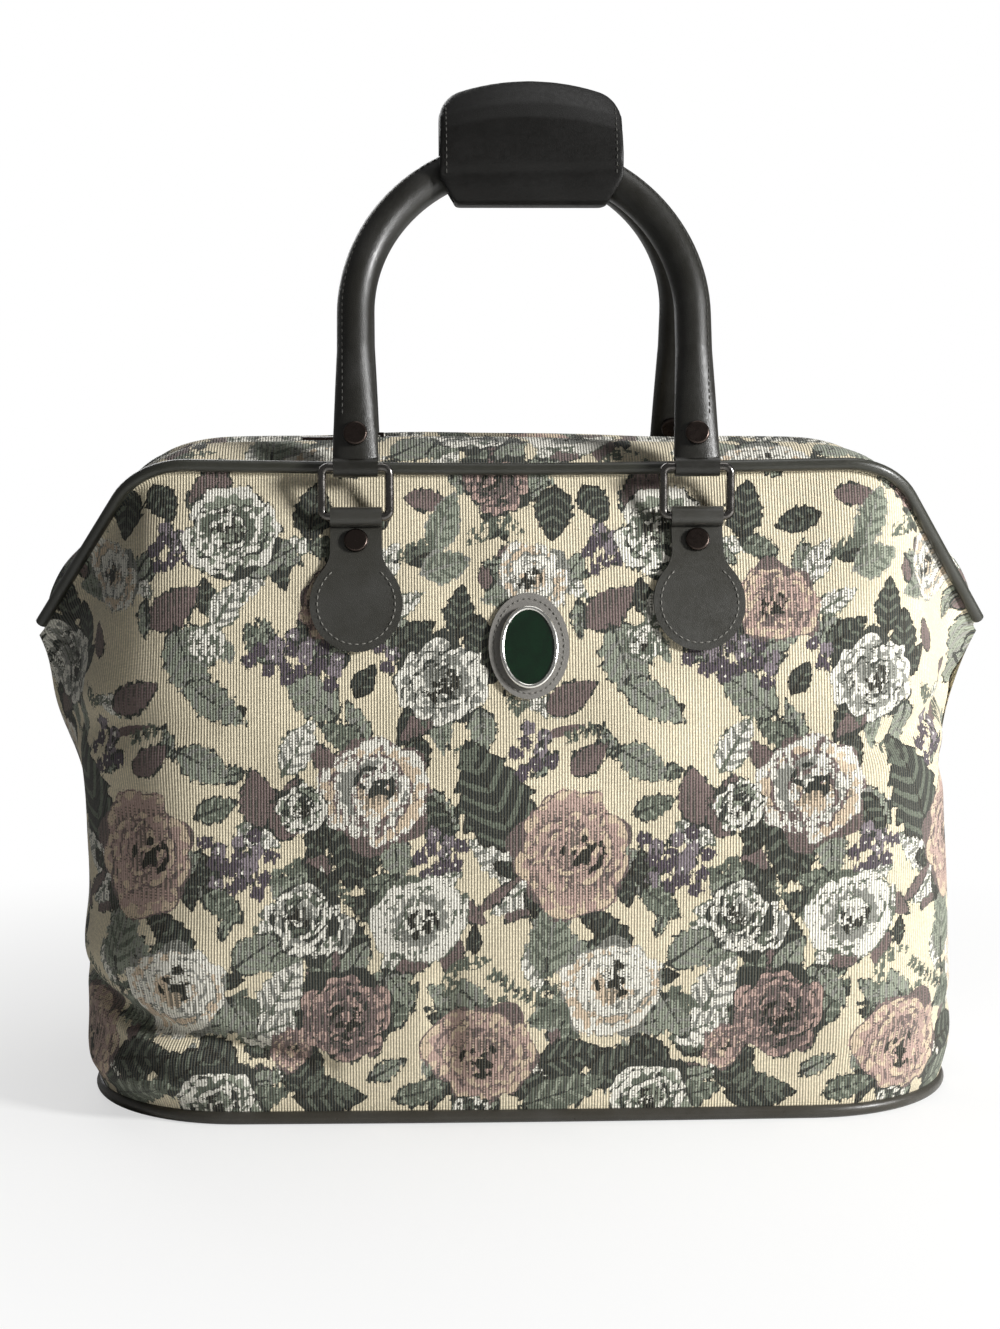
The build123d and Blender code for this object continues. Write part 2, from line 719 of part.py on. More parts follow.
def main():
    os.makedirs("parts", exist_ok=True)
    parts = {}
    parts["front_panel"] = make_front_panel()
    parts["front_top_strip"] = make_front_top_strip()
    parts["front_top_piping"] = make_front_piping()
    parts["zip_tape_front"] = make_zip_tape()
    parts["zip_chain_front"] = make_zip_chain()

    # Ring bars: the lower one stands off the wall by its loop, the upper one clears the piping
    wall_face = front_half(0).faces().sort_by(SortBy.AREA)[-1]
    loop_places = []
    for x in fitting_xs.values():
        for side in (-tab_width / 2, tab_width / 2):
            point, facing = panel_hit(wall_face, x + side, ring_bar_height)
            loop_places.append(point.Y + (seat_gap + loop_radius) / facing.Y)
    bar_y = min(loop_places)
    sag_share = fitting_half_spacing / frame_shoulder_half_width
    piping_reach = frame_reach + frame_sag * sag_share + piping_diameter / 2 + piping_stand
    piping_centre = frame_plane.from_local_coords(Vector(0, piping_reach))
    lower_bar = Vector(bar_y, ring_bar_height)
    upper_bar = two_circle_point(
        lower_bar,
        ring_height,
        Vector(piping_centre.Y, piping_centre.Z),
        loop_radius + piping_diameter / 2 + ring_piping_gap,
    )
    lean = (upper_bar - lower_bar) / ring_height
    ring_plane = Plane(origin=(0, lower_bar.X, lower_bar.Y), x_dir=(1, 0, 0), z_dir=(0, -lean.Y, lean.X))

    # Handle planes lean inward until the two tubes nearly meet, with one layer of the wrap between them
    apex_y = -(handle_tube_diameter + wrap_thickness) / 2 - clearance
    inward = (apex_y - upper_bar.X) / (handle_leg_length + fitting_half_spacing)
    upward = math.sqrt(1 - inward**2)
    handle_plane = Plane(
        origin=(side_shift, upper_bar.X, upper_bar.Y),
        x_dir=(1, 0, 0),
        z_dir=(0, -upward, inward),
    )

    rivets = []
    for side, x in fitting_xs.items():
        rivet_height = ring_bar_height + loop_radius - tab_rivet_drop
        point, facing = panel_hit(wall_face, x, rivet_height)
        seat = point + facing * (2 * seat_gap + tab_thickness)
        rivet_plane = Plane(origin=seat, x_dir=(1, 0, 0), z_dir=facing)
        rivets.append(make_rivet(rivet_plane, tab_thickness).solid())
        parts["tab_front_" + side] = make_tab(x, bar_y, rivet_plane)
        parts["ring_front_" + side] = make_ring(x, ring_plane)
    parts["front_handle"] = make_handle(handle_plane)
    parts["front_handle_rivets"] = make_handle_rivets(handle_plane)

    # The rear half mirrors the front
    for name in list(parts):
        parts[name.replace("front", "back")] = mirror(parts[name], about=Plane.XZ)
    rear_rivets = [mirror(rivet, about=Plane.XZ) for rivet in rivets]
    parts["tab_rivets"] = Compound(rivets + rear_rivets)

    parts["front_frame_rod"] = make_frame_rod(1)
    parts["back_frame_rod"] = mirror(make_frame_rod(-1), about=Plane.XZ)
    parts["frame_hinge_rivets"] = make_hinge_rivets()
    parts["base_piping"] = make_base_piping()
    parts["base_panel"] = make_base_plate(0, base_panel_thickness)
    parts["base_board"] = make_base_plate(base_panel_thickness, base_board_thickness)
    left_x = slider_meeting_x - (slider_length + clearance) / 2
    right_x = slider_meeting_x + (slider_length + clearance) / 2
    parts["zip_slider_left"] = make_slider(left_x)
    parts["zip_slider_right"] = make_slider(right_x)
    parts["zip_pull_left"] = make_pull(left_x, -1)
    parts["zip_pull_right"] = make_pull(right_x, 1)
    print("ring axis", lower_bar, "handle axis", upper_bar, "pull axis", left_x, right_x, pull_axis_height())

    parts["handle_wrap"] = make_handle_wrap(handle_plane)
    parts["badge_patch"], parts["badge_rim"], parts["badge_enamel"] = make_badge()

    for name, shape in parts.items():
        export_step(shape, "parts/" + name + ".step")


main()
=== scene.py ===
import json
import math

import bpy
import numpy as np
from bpy.props import FloatProperty, FloatVectorProperty, PointerProperty, StringProperty
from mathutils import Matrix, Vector
from mathutils.bvhtree import BVHTree


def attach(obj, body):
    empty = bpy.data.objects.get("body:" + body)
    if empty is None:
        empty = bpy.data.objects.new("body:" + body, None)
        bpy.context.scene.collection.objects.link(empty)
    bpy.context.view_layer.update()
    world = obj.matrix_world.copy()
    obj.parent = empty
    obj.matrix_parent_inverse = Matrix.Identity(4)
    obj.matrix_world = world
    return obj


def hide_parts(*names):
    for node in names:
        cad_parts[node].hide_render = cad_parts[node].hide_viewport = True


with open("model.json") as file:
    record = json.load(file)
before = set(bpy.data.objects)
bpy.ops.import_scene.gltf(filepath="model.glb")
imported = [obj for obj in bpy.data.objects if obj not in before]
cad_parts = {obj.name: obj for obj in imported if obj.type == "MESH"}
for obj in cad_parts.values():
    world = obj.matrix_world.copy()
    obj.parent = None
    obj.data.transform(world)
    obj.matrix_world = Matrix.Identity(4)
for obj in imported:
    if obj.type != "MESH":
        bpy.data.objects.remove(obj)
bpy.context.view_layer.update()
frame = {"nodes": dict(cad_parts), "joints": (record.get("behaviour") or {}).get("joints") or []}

bl_info = {
    "name": "Carpet bag",
    "version": (1, 0, 0),
    "blender": (4, 5, 0),
    "location": "3D View > Sidebar > Carpet bag",
    "description": "Dresses a floral tapestry travel bag with leather handles",
    "category": "Add Mesh",
}

# Sizes below are in millimetres, as a maker would measure them, and become metres in the mesh.
MM = 0.001

# Body sections from the base seam up to the frame, as the solids have them
SEAM_RISE = (0, 0.12, 0.27, 0.45, 0.63, 0.8, 0.93, 1)
CENTRE_RISE = (0, 0.11, 0.26, 0.44, 0.61, 0.76, 0.89, 1)
CENTRE_DEPTH = (0, 0.19, 0.38, 0.54, 0.61, 0.52, 0.29, 0)
HALF_WIDTH = (0, 0.2, 0.24, 0.19, 0.16, 0.3, 0.66, 1)
SHOULDER = (0, 0.04, 0.1, 0.18, 0.3, 0.48, 0.76, 1)
SHOULDER_DEPTH = (0.965, 0.95, 0.93, 0.92, 0.92, 0.94, 0.98)
CORNER_RADIUS = (0, 0, 0.05, 0.1, 0.2, 0.45, 0.8, 1)
BOW = 0.45
BASE_SEAM = 6.85
BASE_DEPTH = 96.0
BASE_HALF = 211.0
BASE_CORNER = 74.0
BELLY = 55.0
HINGE = 224.0
HINGE_HALF = 234.0
FRAME_TOP = 305.5
FRAME_DEPTH = 50.0
FRAME_SHOULDER = 178.0
FRAME_CORNER = 34.0
FRAME_DIP = 4.0
RIDGE_TOP = 316.0
RIDGE_GAP = 6.0
RIDGE_HALF = 160.0
RIDGE_SIDE_HALF = 226.0
RIDGE_SIDE_TOP = 257.0
RIDGE_RADII = (40.0, 55.0, 55.0, 40.0)
SIDE_SHIFT = 4.0
FITTING = 81.0

# Cloth: how wide and tall the panels and strips are cut, their cells, the share added for seams, how far the
# cloth looks for its solid, and how deep its edges run into the piping that they find within reach
PANEL_WIDTH = 590
PANEL_HEIGHT = 318
STRIP_WIDTH = 560
STRIP_CELL = 2.2
STRIP_LINES = 30
STRIP_START = 4.0
STRIP_PUFF = 5.0
STRIP_RISE = 60.0
PATTERN_HEIGHT = 350
SETTLE_START = 5
SETTLE_REACH = 12
TUCK = 1.0
TUCK_REACH = 3.0
FIELD_LAYERS = ("threads_a", "threads_b", "threads_c", "threads_d")
SHADE_LAYER = "thread_shade"

# Slack of the cloth: how far from each edge it has its full share, and the fuller left side
BASE_EASE = 14
FRAME_EASE = 26
SIDE_EASE = 24
SIDE_SEAM = 6
LEFT_SLACK = 8.0
LEFT_START = 130
LEFT_EASE = 80
LEFT_HEIGHT = 190
LEFT_SPAN = 27
# Hump of a top strip: place, width, height and rise, then its lumps' share and phase, and how both ease off
HUMP = ((-20.0, 40.0), 95.0, 30.0, 4.0)
HUMP_EASE = (20, 12)
STRIP_LUMPS = 0.5
STRIP_PHASE = 0.9
LUMP_EASE = 10

# Folds of each side: creases (start, end, width, depth), swellings (place, width, height, rise), lumps' phase
FOLDS = {
    "front": ((((-262, 62), (-96, 22), 6, 9.0), ((-205, 34), (-150, 10), 5, 2.5),
               ((262, 196), (150, 172), 8, 6.5), ((250, 150), (168, 182), 8, 3.0),
               ((-40, 74), (-38, 4), 8, 4.0), ((-262, 176), (-150, 190), 11, 3.5),
               ((255, 44), (140, 14), 9, 3.0)),
              (((-190, 18), 60, 13, 5.0), ((-185, 74), 60, 18, 6.5), ((205, 34), 40, 20, 2.0)), 0.3),
    "back": ((((-250, 58), (-120, 16), 9, 4.0), ((250, 182), (140, 196), 10, 4.0),
              ((60, 80), (66, 4), 10, 2.4), ((-250, 190), (-150, 170), 10, 3.6)), (), 1.7),
}

# Leather: what holds the cloth down, the handles, the wrap with its crease and the swelling above it (height,
# width, depth), the tabs and the badge
TAB_HOLD = 252
HELD_RADIUS = 30
HELD_EASE = 18
HANDLE_TOP_DEPTH = -10.4
HANDLE_RISE = 157.0
HANDLE_STRAIGHT = 76.0
SEAM_ASIDE = 6.2
SEAM_START = 26.0
WRAP_BOTTOM = 434.0
WRAP_TOP = 495.0
WRAP_DROOP = 9.0
WRAP_MIDDLE = SIDE_SHIFT + 4.0
WRAP_HALF = 44.5
WRAP_SEAM = 41.0
WRAP_CELL = 0.9
WRAP_FRONT = -3.5
WRAP_CREASE = (450.5, 2.0, 1.3)
WRAP_LEAN = 0.03
WRAP_SWELL = (458, 5.0, 0.6)
WRAP_SEAM_SPAN = (451, 481)
WRAP_SEAM_START = -60.0
WRAP_SHARES = (0, 0.05, 0.16, 0.36, 0.55, 0.7, 0.82, 0.92, 0.98, 1)
WRAP_DOME = (-23, -26.4, -27.9, -28, -26.8, -23.2, -18, -11.5, -6.5, -4)
TAB_MIDDLE = 248.5
TAB_SEAM = 18.3
BADGE_MIDDLE = 229.0
BADGE_ASPECT = 0.8
BADGE_SEAM = (16.5, 21.4)
BEAD = 1.1
BEAD_INSET = 0.75
BEAD_SINK = 0.5
LIFT = 0.1
FAR = 200.0

# Zip
ZIP_END = 276.0
COIL_RISE = 0.85
COIL_BEND = 56.0
COIL_GAP = 1.8

# In metres: stitches of the badge (pitch, length, width, height), one turn of the coil (length, width,
# height), where a line starts its drop on a mesh and how far it looks, the floor and the lamps
STITCH_SIZES = ("Pitch", "Length", "Width", "Height")
BADGE_STITCH = (0.0027, 0.0018, 0.0008, 0.0008)
COIL_TURN = (0.0013, 0.0023, 0.0023)
DROP_START = 0.2
DROP_REACH = 0.5
FLOOR_HALF = 6
LAMP_TARGET = (0, 0, 0.2)
LAMPS = {
    "key": ((1.45, -0.9, 0.8), 0.4),
    "fill": ((-1.1, -1.2, 0.7), 1.2),
    "top": ((0.3, 0.1, 1.5), 0.9),
    "back": ((-0.5, 1.5, 0.9), 1.0),
}

# Linear grey that leather wears towards, and plain white
WORN_TONE = 0.14
WHITE = (1, 1, 1, 1)

# Thread colours of the tapestry, in the order of the pattern's fields
THREADS = ("ground", "ivory", "peach", "dusty_rose", "mauve", "sage", "moss", "slate", "black", "purple",
           "lilac", "grey")
(GROUND, IVORY, PEACH, ROSE, MAUVE, SAGE, MOSS, SLATE, BLACK, PURPLE, LILAC, GREY) = range(12)

# How far each thread's fields follow the unevenness of the weave, so that no two meet in a clean line
RAGGED = (1.0, -0.7, 0.4, -0.4, 0.8, -0.8, 0.2, -0.3, 0.6, -0.6, 0.9, 0.0)

# The repeat of the cloth, drawn one by one: places and sizes in millimetres from the badge's middle
# line and the base seam, then turn in degrees or kind.
LEAVES = (
    (-18, 154, 57, 40, 115, "slate"), (13, 290, 28, 21, -95, "slate"), (33, 295, 21, 17, -60, "slate"),
    (-32, 242, 26, 16, 85, "slate"), (-54, 229, 25, 16, 35, "slate"), (-77, 208, 17, 12, 60, "slate"),
    (39, 243, 30, 21, 40, "mauve"), (20, 200, 27, 17, 30, "mauve"), (-6, 271, 17, 10, 15, "mauve"),
    (-20, 258, 13, 8, 100, "mauve"), (-39, 287, 32, 18, 70, "fern"), (-38, 264, 24, 19, 20, "fern"),
    (-22, 281, 16, 9, 40, "outline"), (-8, 284, 16, 9, -30, "outline"), (46, 214, 40, 25, -70, "sage"),
    (59, 197, 34, 19, -35, "sage"), (-103, 202, 35, 22, 140, "sage"), (-87, 226, 24, 14, 20, "sage"),
    (16, 184, 24, 4, 15, "brown"), (28, 171, 22, 15, 40, "mauve"), (54, 168, 29, 19, -30, "sage"),
    (78, 153, 28, 21, 100, "mauve"), (93, 148, 31, 22, 75, "mauve"), (59, 148, 21, 14, 20, "moss"),
    (-86, 126, 36, 17, -85, "slate"), (-10, 118, 14, 9, -30, "slate"), (-14, 107, 26, 7, 40, "mauve"),
    (10, 86, 38, 24, 80, "fern"), (28, 96, 20, 10, -65, "slate"), (2, 106, 17, 12, 90, "slate"),
    (-36, 67, 19, 9, 70, "outline"), (-27, 74, 18, 7, 10, "outline"), (-61, 60, 24, 12, -55, "sage"),
    (20, 27, 32, 21, 10, "slate"), (43, 22, 31, 24, 35, "slate"), (17, 9, 43, 21, 20, "moss"),
    (77, 80, 27, 21, 35, "sage"), (89, 60, 35, 24, 60, "pale"), (83, 41, 32, 21, 20, "pale"),
    (69, 46, 26, 19, -60, "sage"), (62, 102, 24, 15, -40, "moss"), (-67, 265, 24, 15, 60, "pale"),
    (-58, 245, 21, 12, 30, "pale"), (-84, 253, 22, 14, 110, "moss"), (-101, 292, 29, 21, 80, "slate"),
    (-94, 272, 19, 13, -20, "moss"), (-51, 9, 27, 14, 15, "moss"), (-67, 21, 20, 11, 30, "sage"),
    (-94, 7, 34, 21, 0, "slate"), (-108, 26, 19, 14, 60, "slate"), (-108, 177, 29, 18, 60, "pale"),
    (-89, 182, 23, 14, 150, "moss"), (64, 245, 26, 17, 60, "pale"), (78, 226, 23, 14, 120, "moss"),
    (54, 265, 19, 12, 160, "sage"), (83, 265, 23, 14, 30, "sage"), (-67, 109, 16, 9, 60, "moss"),
    (-34, 97, 24, 12, 70, "pale"), (-98, 73, 21, 13, 80, "moss"), (45, 109, 19, 12, -80, "slate"),
    (95, 21, 24, 17, 100, "slate"), (78, 7, 29, 17, 15, "moss"), (54, 119, 17, 14, 100, "slate"),
)
CLUSTERS = (
    (-43, 126, 12, 9), (72, 121, 16, 13), (2, 175, 12, 8), (37, 272, 12, 9), (-108, 219, 13, 10),
    (-94, 212, 8, 4), (69, 118, 7, 4), (57, 129, 7, 3), (-67, 221, 7, 3), (83, 219, 10, 6),
)
ROSES = (
    (-41, 209, 22, "white"), (-72, 153, 27, "peach"), (-53, 95, 21, "ivory"), (-101, 91, 18, "grey"),
    (-88, 49, 24, "mauve"), (-21, 30, 26, "pink"), (19, 127, 29, "pink"), (38, 60, 25, "cream"),
    (66, 280, 23, "green"), (4, 258, 17, "cream"), (-88, 246, 20, "pink"), (-13, 304, 16, "mauve"),
    (59, 6, 21, "green"), (92, 31, 10, "pink"), (100, 97, 16, "grey"), (-108, 148, 12, "green"),
    (54, 226, 9, "ivory"), (-27, -3, 10, "green"),
)
SPRIGS = (
    ((8, 76), (8, 51)), ((8, 52), (-5, 59), (-17, 68)), ((8, 58), (19, 63)),
    ((-49, 51), (-27, 49), (-12, 55)), ((-3, 43), (11, 50), (17, 50)), ((-12, 202), (-5, 194)),
    ((-108, 9), (-98, 17), (-87, 9)), ((-55, 197), (-48, 189)), ((64, 56), (71, 58), (76, 51)),
    ((-39, 177), (-27, 170)), ((-63, 265), (-54, 272), (-46, 275)), ((78, 114), (89, 116), (97, 121)),
    ((35, 187), (19, 181)), ((54, 284), (64, 292), (78, 294)), ((-94, 114), (-87, 104)),
)


def linear(code):
    """Linear colour of an sRGB hex value."""
    parts = [int(code[index:index + 2], 16) / 255 for index in (1, 3, 5)]
    return tuple(part / 12.92 if part <= 0.04045 else ((part + 0.055) / 1.055) ** 2.4
                 for part in parts) + (1,)


def toned(colour, factor):
    """Linear colour made darker or paler."""
    return tuple(part * factor for part in colour[:3]) + (1,)


def feed(tree, made, inputs):
    """Set a node's inputs, or link them where a socket is given."""
    for name, value in inputs.items():
        if isinstance(value, bpy.types.NodeSocket):
            tree.links.new(value, made.inputs[name])
        else:
            made.inputs[name].default_value = value


def node(tree, kind, inputs=None, **settings):
    """Add a node with its settings, constant inputs and links."""
    made = tree.nodes.new(kind)
    for name, value in settings.items():
        setattr(made, name, value)
    feed(tree, made, inputs or {})
    return made


def maths(tree, operation, *values):
    """Result of one sum on values or sockets."""
    return node(tree, "ShaderNodeMath", dict(enumerate(values)), operation=operation).outputs[0]


def span(tree, value, low, high, start=0.0, end=1.0):
    """Value carried from one span to another and held inside it."""
    return node(tree, "ShaderNodeMapRange", {0: value, 1: low, 2: high, 3: start, 4: end}).outputs[0]


def mixed(tree, share, first, second):
    """Colour between two colours."""
    return node(tree, "ShaderNodeMix", {0: share, 6: first, 7: second}, data_type="RGBA").outputs[2]


def scaled(tree, colour, factor):
    """Colour made darker or paler by a socket."""
    return node(tree, "ShaderNodeVectorMath", {0: colour, "Scale": factor}, operation="SCALE").outputs[0]


def noise(tree, scale, detail, rough=0.5):
    """Cloudy noise fixed to the piece, with so many clouds to the metre."""
    place = node(tree, "ShaderNodeTexCoord").outputs["Object"]
    return node(tree, "ShaderNodeTexNoise", {"Vector": place, "Scale": scale, "Detail": detail,
                                             "Roughness": rough}).outputs[0]


def speckle(tree, place):
    """Chance value of each whole step of a place."""
    return node(tree, "ShaderNodeTexWhiteNoise", {0: place}, noise_dimensions="2D").outputs[0]


def surface(tree, shader, colour, height, relief, inputs):
    """Give a shader its colour, its relief as strength and depth in metres, and its other inputs."""
    strength, depth = relief
    bump = node(tree, "ShaderNodeBump", {"Strength": strength, "Distance": depth, "Height": height})
    feed(tree, shader, {"Base Color": colour, "Normal": bump.outputs[0], **inputs})


def colour_property(name, description, code):
    """Setting that holds an sRGB hex colour."""
    return StringProperty(name=name, description=description, default=code)


def length_property(name, description, metres):
    """Setting that holds a length."""
    return FloatProperty(name=name, description=description, default=metres, unit="LENGTH")


def power_property(name, description, watts):
    """Setting that holds the power of a lamp."""
    return FloatProperty(name=name, description=description, default=watts)


class TapestrySettings(bpy.types.PropertyGroup):
    """Cloth of the body."""
    repeat: length_property("Repeat", "Width of one repeat of the pattern", 0.2055)
    rib: length_property("Rib", "Spacing of the warp ribs", 0.00137)
    pick: length_property("Pick", "Spacing of the weft threads", 0.0007)
    cell: length_property("Panel cell", "Size of one mesh cell of the panels", 0.0015)
    fold: FloatProperty(name="Fold depth", description="Share of the measured fold depths", default=1.0)
    ground: colour_property("Ground", "Cream ground thread", "#e8dcbf")
    ivory: colour_property("Ivory", "Palest petal thread", "#efece0")
    peach: colour_property("Peach", "Warm pale petal thread", "#d9c4aa")
    dusty_rose: colour_property("Dusty rose", "Pink petal thread", "#bca096")
    mauve: colour_property("Mauve", "Brown mauve thread", "#756463")
    sage: colour_property("Sage", "Pale leaf thread", "#949b8b")
    moss: colour_property("Moss", "Middle leaf thread", "#626a5e")
    slate: colour_property("Slate", "Dark leaf thread", "#272d2c")
    black: colour_property("Black", "Outline thread", "#121413")
    purple: colour_property("Purple", "Small flower thread", "#4f4652")
    lilac: colour_property("Lilac", "Pale small flower thread", "#847a82")
    grey: colour_property("Grey", "Shaded petal thread", "#8f9089")
    hatch: colour_property("Hatch", "Thread that hatches the shaded parts", "#40433f")
    # Warp: darker tone of the furrows between the ribs, the warp thread's own colour together with painted
    # shade there
    warp: colour_property("Warp", "Thread that shows between the ribs", "#736e5c")


class TrimSettings(bpy.types.PropertyGroup):
    """Leather, metal and zip."""
    leather: colour_property("Leather", "Handles", "#201f1b")
    tabs: colour_property("Tab leather", "Tabs that hold the rings", "#35342f")
    wrap: colour_property("Wrap leather", "Handle wrap", "#0d0c0a")
    piping: colour_property("Piping", "Piping along the frame", "#2c2c24")
    base: colour_property("Base", "Leatherette of the base", "#39362f")
    patch: colour_property("Badge patch", "Leather under the badge", "#7c7974")
    stitch: colour_property("Stitches", "Waxed thread", "#716f69")
    seam: colour_property("Seams", "Thread of the handles and the wrap", "#3b3a36")
    grain: length_property("Grain", "Width of one leather pebble", 0.0008)
    stitch_pitch: length_property("Stitch pitch", "Length of one stitch and its gap", 0.0033)
    stitch_length: length_property("Stitch length", "Length of thread that shows", 0.0023)
    stitch_width: length_property("Stitch width", "Thickness of the thread", 0.0008)
    nickel: colour_property("Nickel", "Rings", "#6a6764")
    rivet: colour_property("Rivets", "Dark rivets", "#463d39")
    badge_metal: colour_property("Badge rim", "Polished rim", "#f2f0ea")
    enamel: colour_property("Enamel", "Green field of the badge", "#041c0c")
    zip: colour_property("Zip", "Tape and coil", "#1b1b1a")
    tooth_pitch: length_property("Tooth pitch", "Spacing of the zip's turns", 0.0016)


class StageSettings(bpy.types.PropertyGroup):
    """Floor, light and camera."""
    azimuth: FloatProperty(name="Azimuth", description="Camera turn about the bag",
                           default=math.radians(-2.2), subtype="ANGLE")
    elevation: FloatProperty(name="Elevation", description="Camera height angle",
                             default=math.radians(7.85), subtype="ANGLE")
    distance: length_property("Distance", "Camera to its target", 1.4)
    target: FloatVectorProperty(name="Target", description="Point in the middle of the picture",
                                default=(-0.0062, 0.0, 0.208), subtype="XYZ")
    lens: FloatProperty(name="Lens", description="Focal length in millimetres", default=75.6)
    floor: colour_property("Floor", "Pale floor", "#f4f4f2")
    key: power_property("Key", "Power of the main light in watts", 50.0)
    fill: power_property("Fill", "Power of the fill light in watts", 0.1)
    back: power_property("Back", "Power of the light behind the bag in watts", 9.0)
    top: power_property("Top", "Power of the overhead light in watts", 4.0)


def even_path(corners, radii, count):
    """Points at even spacing along a row of corners, each inner corner rounded by its radius."""
    dense = [np.array(corners[0], float)]
    for before, corner, after, radius in zip(corners, corners[1:], corners[2:], radii):
        before, corner, after = (np.array(place, float) for place in (before, corner, after))
        back = (before - corner) / np.linalg.norm(before - corner)
        on = (after - corner) / np.linalg.norm(after - corner)
        half = math.acos(max(-1.0, min(1.0, float(back @ on)))) / 2
        trim = radius / math.tan(half)
        middle = corner + (back + on) / np.linalg.norm(back + on) * radius / math.sin(half)
        first = corner + back * trim - middle
        last = corner + on * trim - middle
        sweep = math.pi - 2 * half
        for share in np.linspace(0, 1, 40):
            dense.append(middle + (first * math.sin((1 - share) * sweep) + last * math.sin(share * sweep))
                         / math.sin(sweep))
    dense.append(np.array(corners[-1], float))
    dense = np.array(dense)
    length = np.concatenate([[0], np.cumsum(np.linalg.norm(np.diff(dense, axis=0), axis=1))])
    places = np.linspace(0, length[-1], count)
    return np.column_stack([np.interp(places, length, dense[:, axis]) for axis in (0, 1)])


def spline_rows(knots, rows, places):
    """Natural cubic through rows of points, read at new places."""
    count = len(knots)
    gap = np.diff(knots)
    matrix = np.eye(count)
    right = np.zeros((count,) + rows.shape[1:])
    for index in range(1, count - 1):
        matrix[index, index - 1] = gap[index - 1]
        matrix[index, index] = 2 * (gap[index - 1] + gap[index])
        matrix[index, index + 1] = gap[index]
        right[index] = 6 * ((rows[index + 1] - rows[index]) / gap[index]
                            - (rows[index] - rows[index - 1]) / gap[index - 1])
    bend = np.linalg.solve(matrix, right.reshape(count, -1)).reshape(right.shape)
    out = []
    for place in places:
        index = int(np.clip(np.searchsorted(knots, place) - 1, 0, count - 2))
        low = (knots[index + 1] - place) / gap[index]
        high = (place - knots[index]) / gap[index]
        curve = ((low**3 - low) * bend[index] + (high**3 - high) * bend[index + 1]) * gap[index]**2 / 6
        out.append(low * rows[index] + high * rows[index + 1] + curve)
    return np.array(out)


def in_fan(flat, seam, depth, height):
    """Points of a sloping section through both side seams, in space."""
    reach = math.hypot(depth, height - seam)
    across = flat[:, 1] / reach
    return np.column_stack([flat[:, 0], -depth * across, seam + (height - seam) * across])


def blend_values(low, high, share):
    """Value at a share of the way between two others."""
    return low + (high - low) * share


def body_corners(index):
    """Corners, radii and slope of one body section."""
    seam = blend_values(BASE_SEAM, HINGE, SEAM_RISE[index])
    depth = blend_values(BASE_DEPTH, FRAME_DEPTH, SEAM_RISE[index]) + BELLY * CENTRE_DEPTH[index]
    height = blend_values(BASE_SEAM, FRAME_TOP, CENTRE_RISE[index])
    reach = math.hypot(depth, height - seam)
    half = blend_values(BASE_HALF, HINGE_HALF, HALF_WIDTH[index])
    shoulder = blend_values(BASE_HALF, FRAME_SHOULDER, SHOULDER[index])
    shift = blend_values(SIDE_SHIFT, 0, SEAM_RISE[index])
    radius = blend_values(BASE_CORNER, FRAME_CORNER, CORNER_RADIUS[index])
    rise = reach * SHOULDER_DEPTH[index] if index < len(SHOULDER_DEPTH) else reach + FRAME_DIP
    corners = [(shift - half, 0), (shift - shoulder, rise), (shift, reach), (shift + shoulder, rise),
               (shift + half, 0)]
    turn = abs(math.atan2(reach - rise, shoulder)) * 2
    bow = BOW * math.hypot(shoulder, reach - rise) / math.tan(turn / 2)
    return corners, [radius, bow, radius], (seam, depth, height)


def panel_grid(columns, rows):
    """Grid of points over the front wall, from the base seam to the frame."""
    sections = []
    for index in range(len(SEAM_RISE)):
        corners, radii, slope = body_corners(index)
        sections.append(in_fan(even_path(corners, radii, columns), *slope))
    sections = np.array(sections)
    middle = sections[:, columns // 2]
    knots = np.concatenate([[0], np.cumsum(np.linalg.norm(np.diff(middle, axis=0), axis=1))])
    return spline_rows(knots, sections, np.linspace(0, knots[-1], rows))


def strip_grid(columns, rows):
    """Grid of points over the front top strip, from the frame to the zip."""
    corners, radii, slope = body_corners(len(SEAM_RISE) - 1)
    stretch = math.hypot(RIDGE_GAP, RIDGE_TOP - HINGE)
    side = (RIDGE_SIDE_TOP - HINGE) * stretch / (RIDGE_TOP - HINGE)
    half = [(-HINGE_HALF, 0), (-RIDGE_SIDE_HALF, side), (-RIDGE_HALF, stretch)]
    ridge = half + [(-x, rise) for x, rise in reversed(half)]
    ends = []
    for row in (corners, ridge):
        first, second = np.array(row[0], float), np.array(row[1], float)
        cut = first + (second - first) * STRIP_START / second[1]
        ends.append([tuple(cut)] + list(row[1:-1]) + [(-cut[0], cut[1])])
    low = even_path(ends[0], radii, columns)
    high = even_path(ends[1], RIDGE_RADII, columns)
    middle = (low + high) / 2
    run = np.gradient(middle, axis=0)
    run /= np.linalg.norm(run, axis=1)[:, None]
    puff = STRIP_PUFF * (middle[:, 1] / middle[:, 1].max()) ** 2
    middle = middle + np.column_stack([-run[:, 1], run[:, 0]]) * puff[:, None]
    places = [in_fan(low, *slope),
              in_fan(middle, HINGE, (FRAME_DEPTH + RIDGE_GAP) / 2, (FRAME_TOP + RIDGE_TOP) / 2),
              in_fan(high, HINGE, RIDGE_GAP, RIDGE_TOP)]
    share = np.linspace(0, 1, rows)[:, None, None]
    weights = (2 * (share - 0.5) * (share - 1), -4 * share * (share - 1), 2 * share * (share - 0.5))
    return sum(weight * place for weight, place in zip(weights, places))


def facing(grid):
    """Direction that each point of a grid faces."""
    normal = np.cross(np.gradient(grid, axis=1), np.gradient(grid, axis=0))
    return normal / np.maximum(np.linalg.norm(normal, axis=2, keepdims=True), 1e-9)


def face_tree(mesh):
    """Search tree over the faces of a mesh."""
    return BVHTree.FromPolygons([vertex.co for vertex in mesh.vertices],
                                [polygon.vertices for polygon in mesh.polygons])


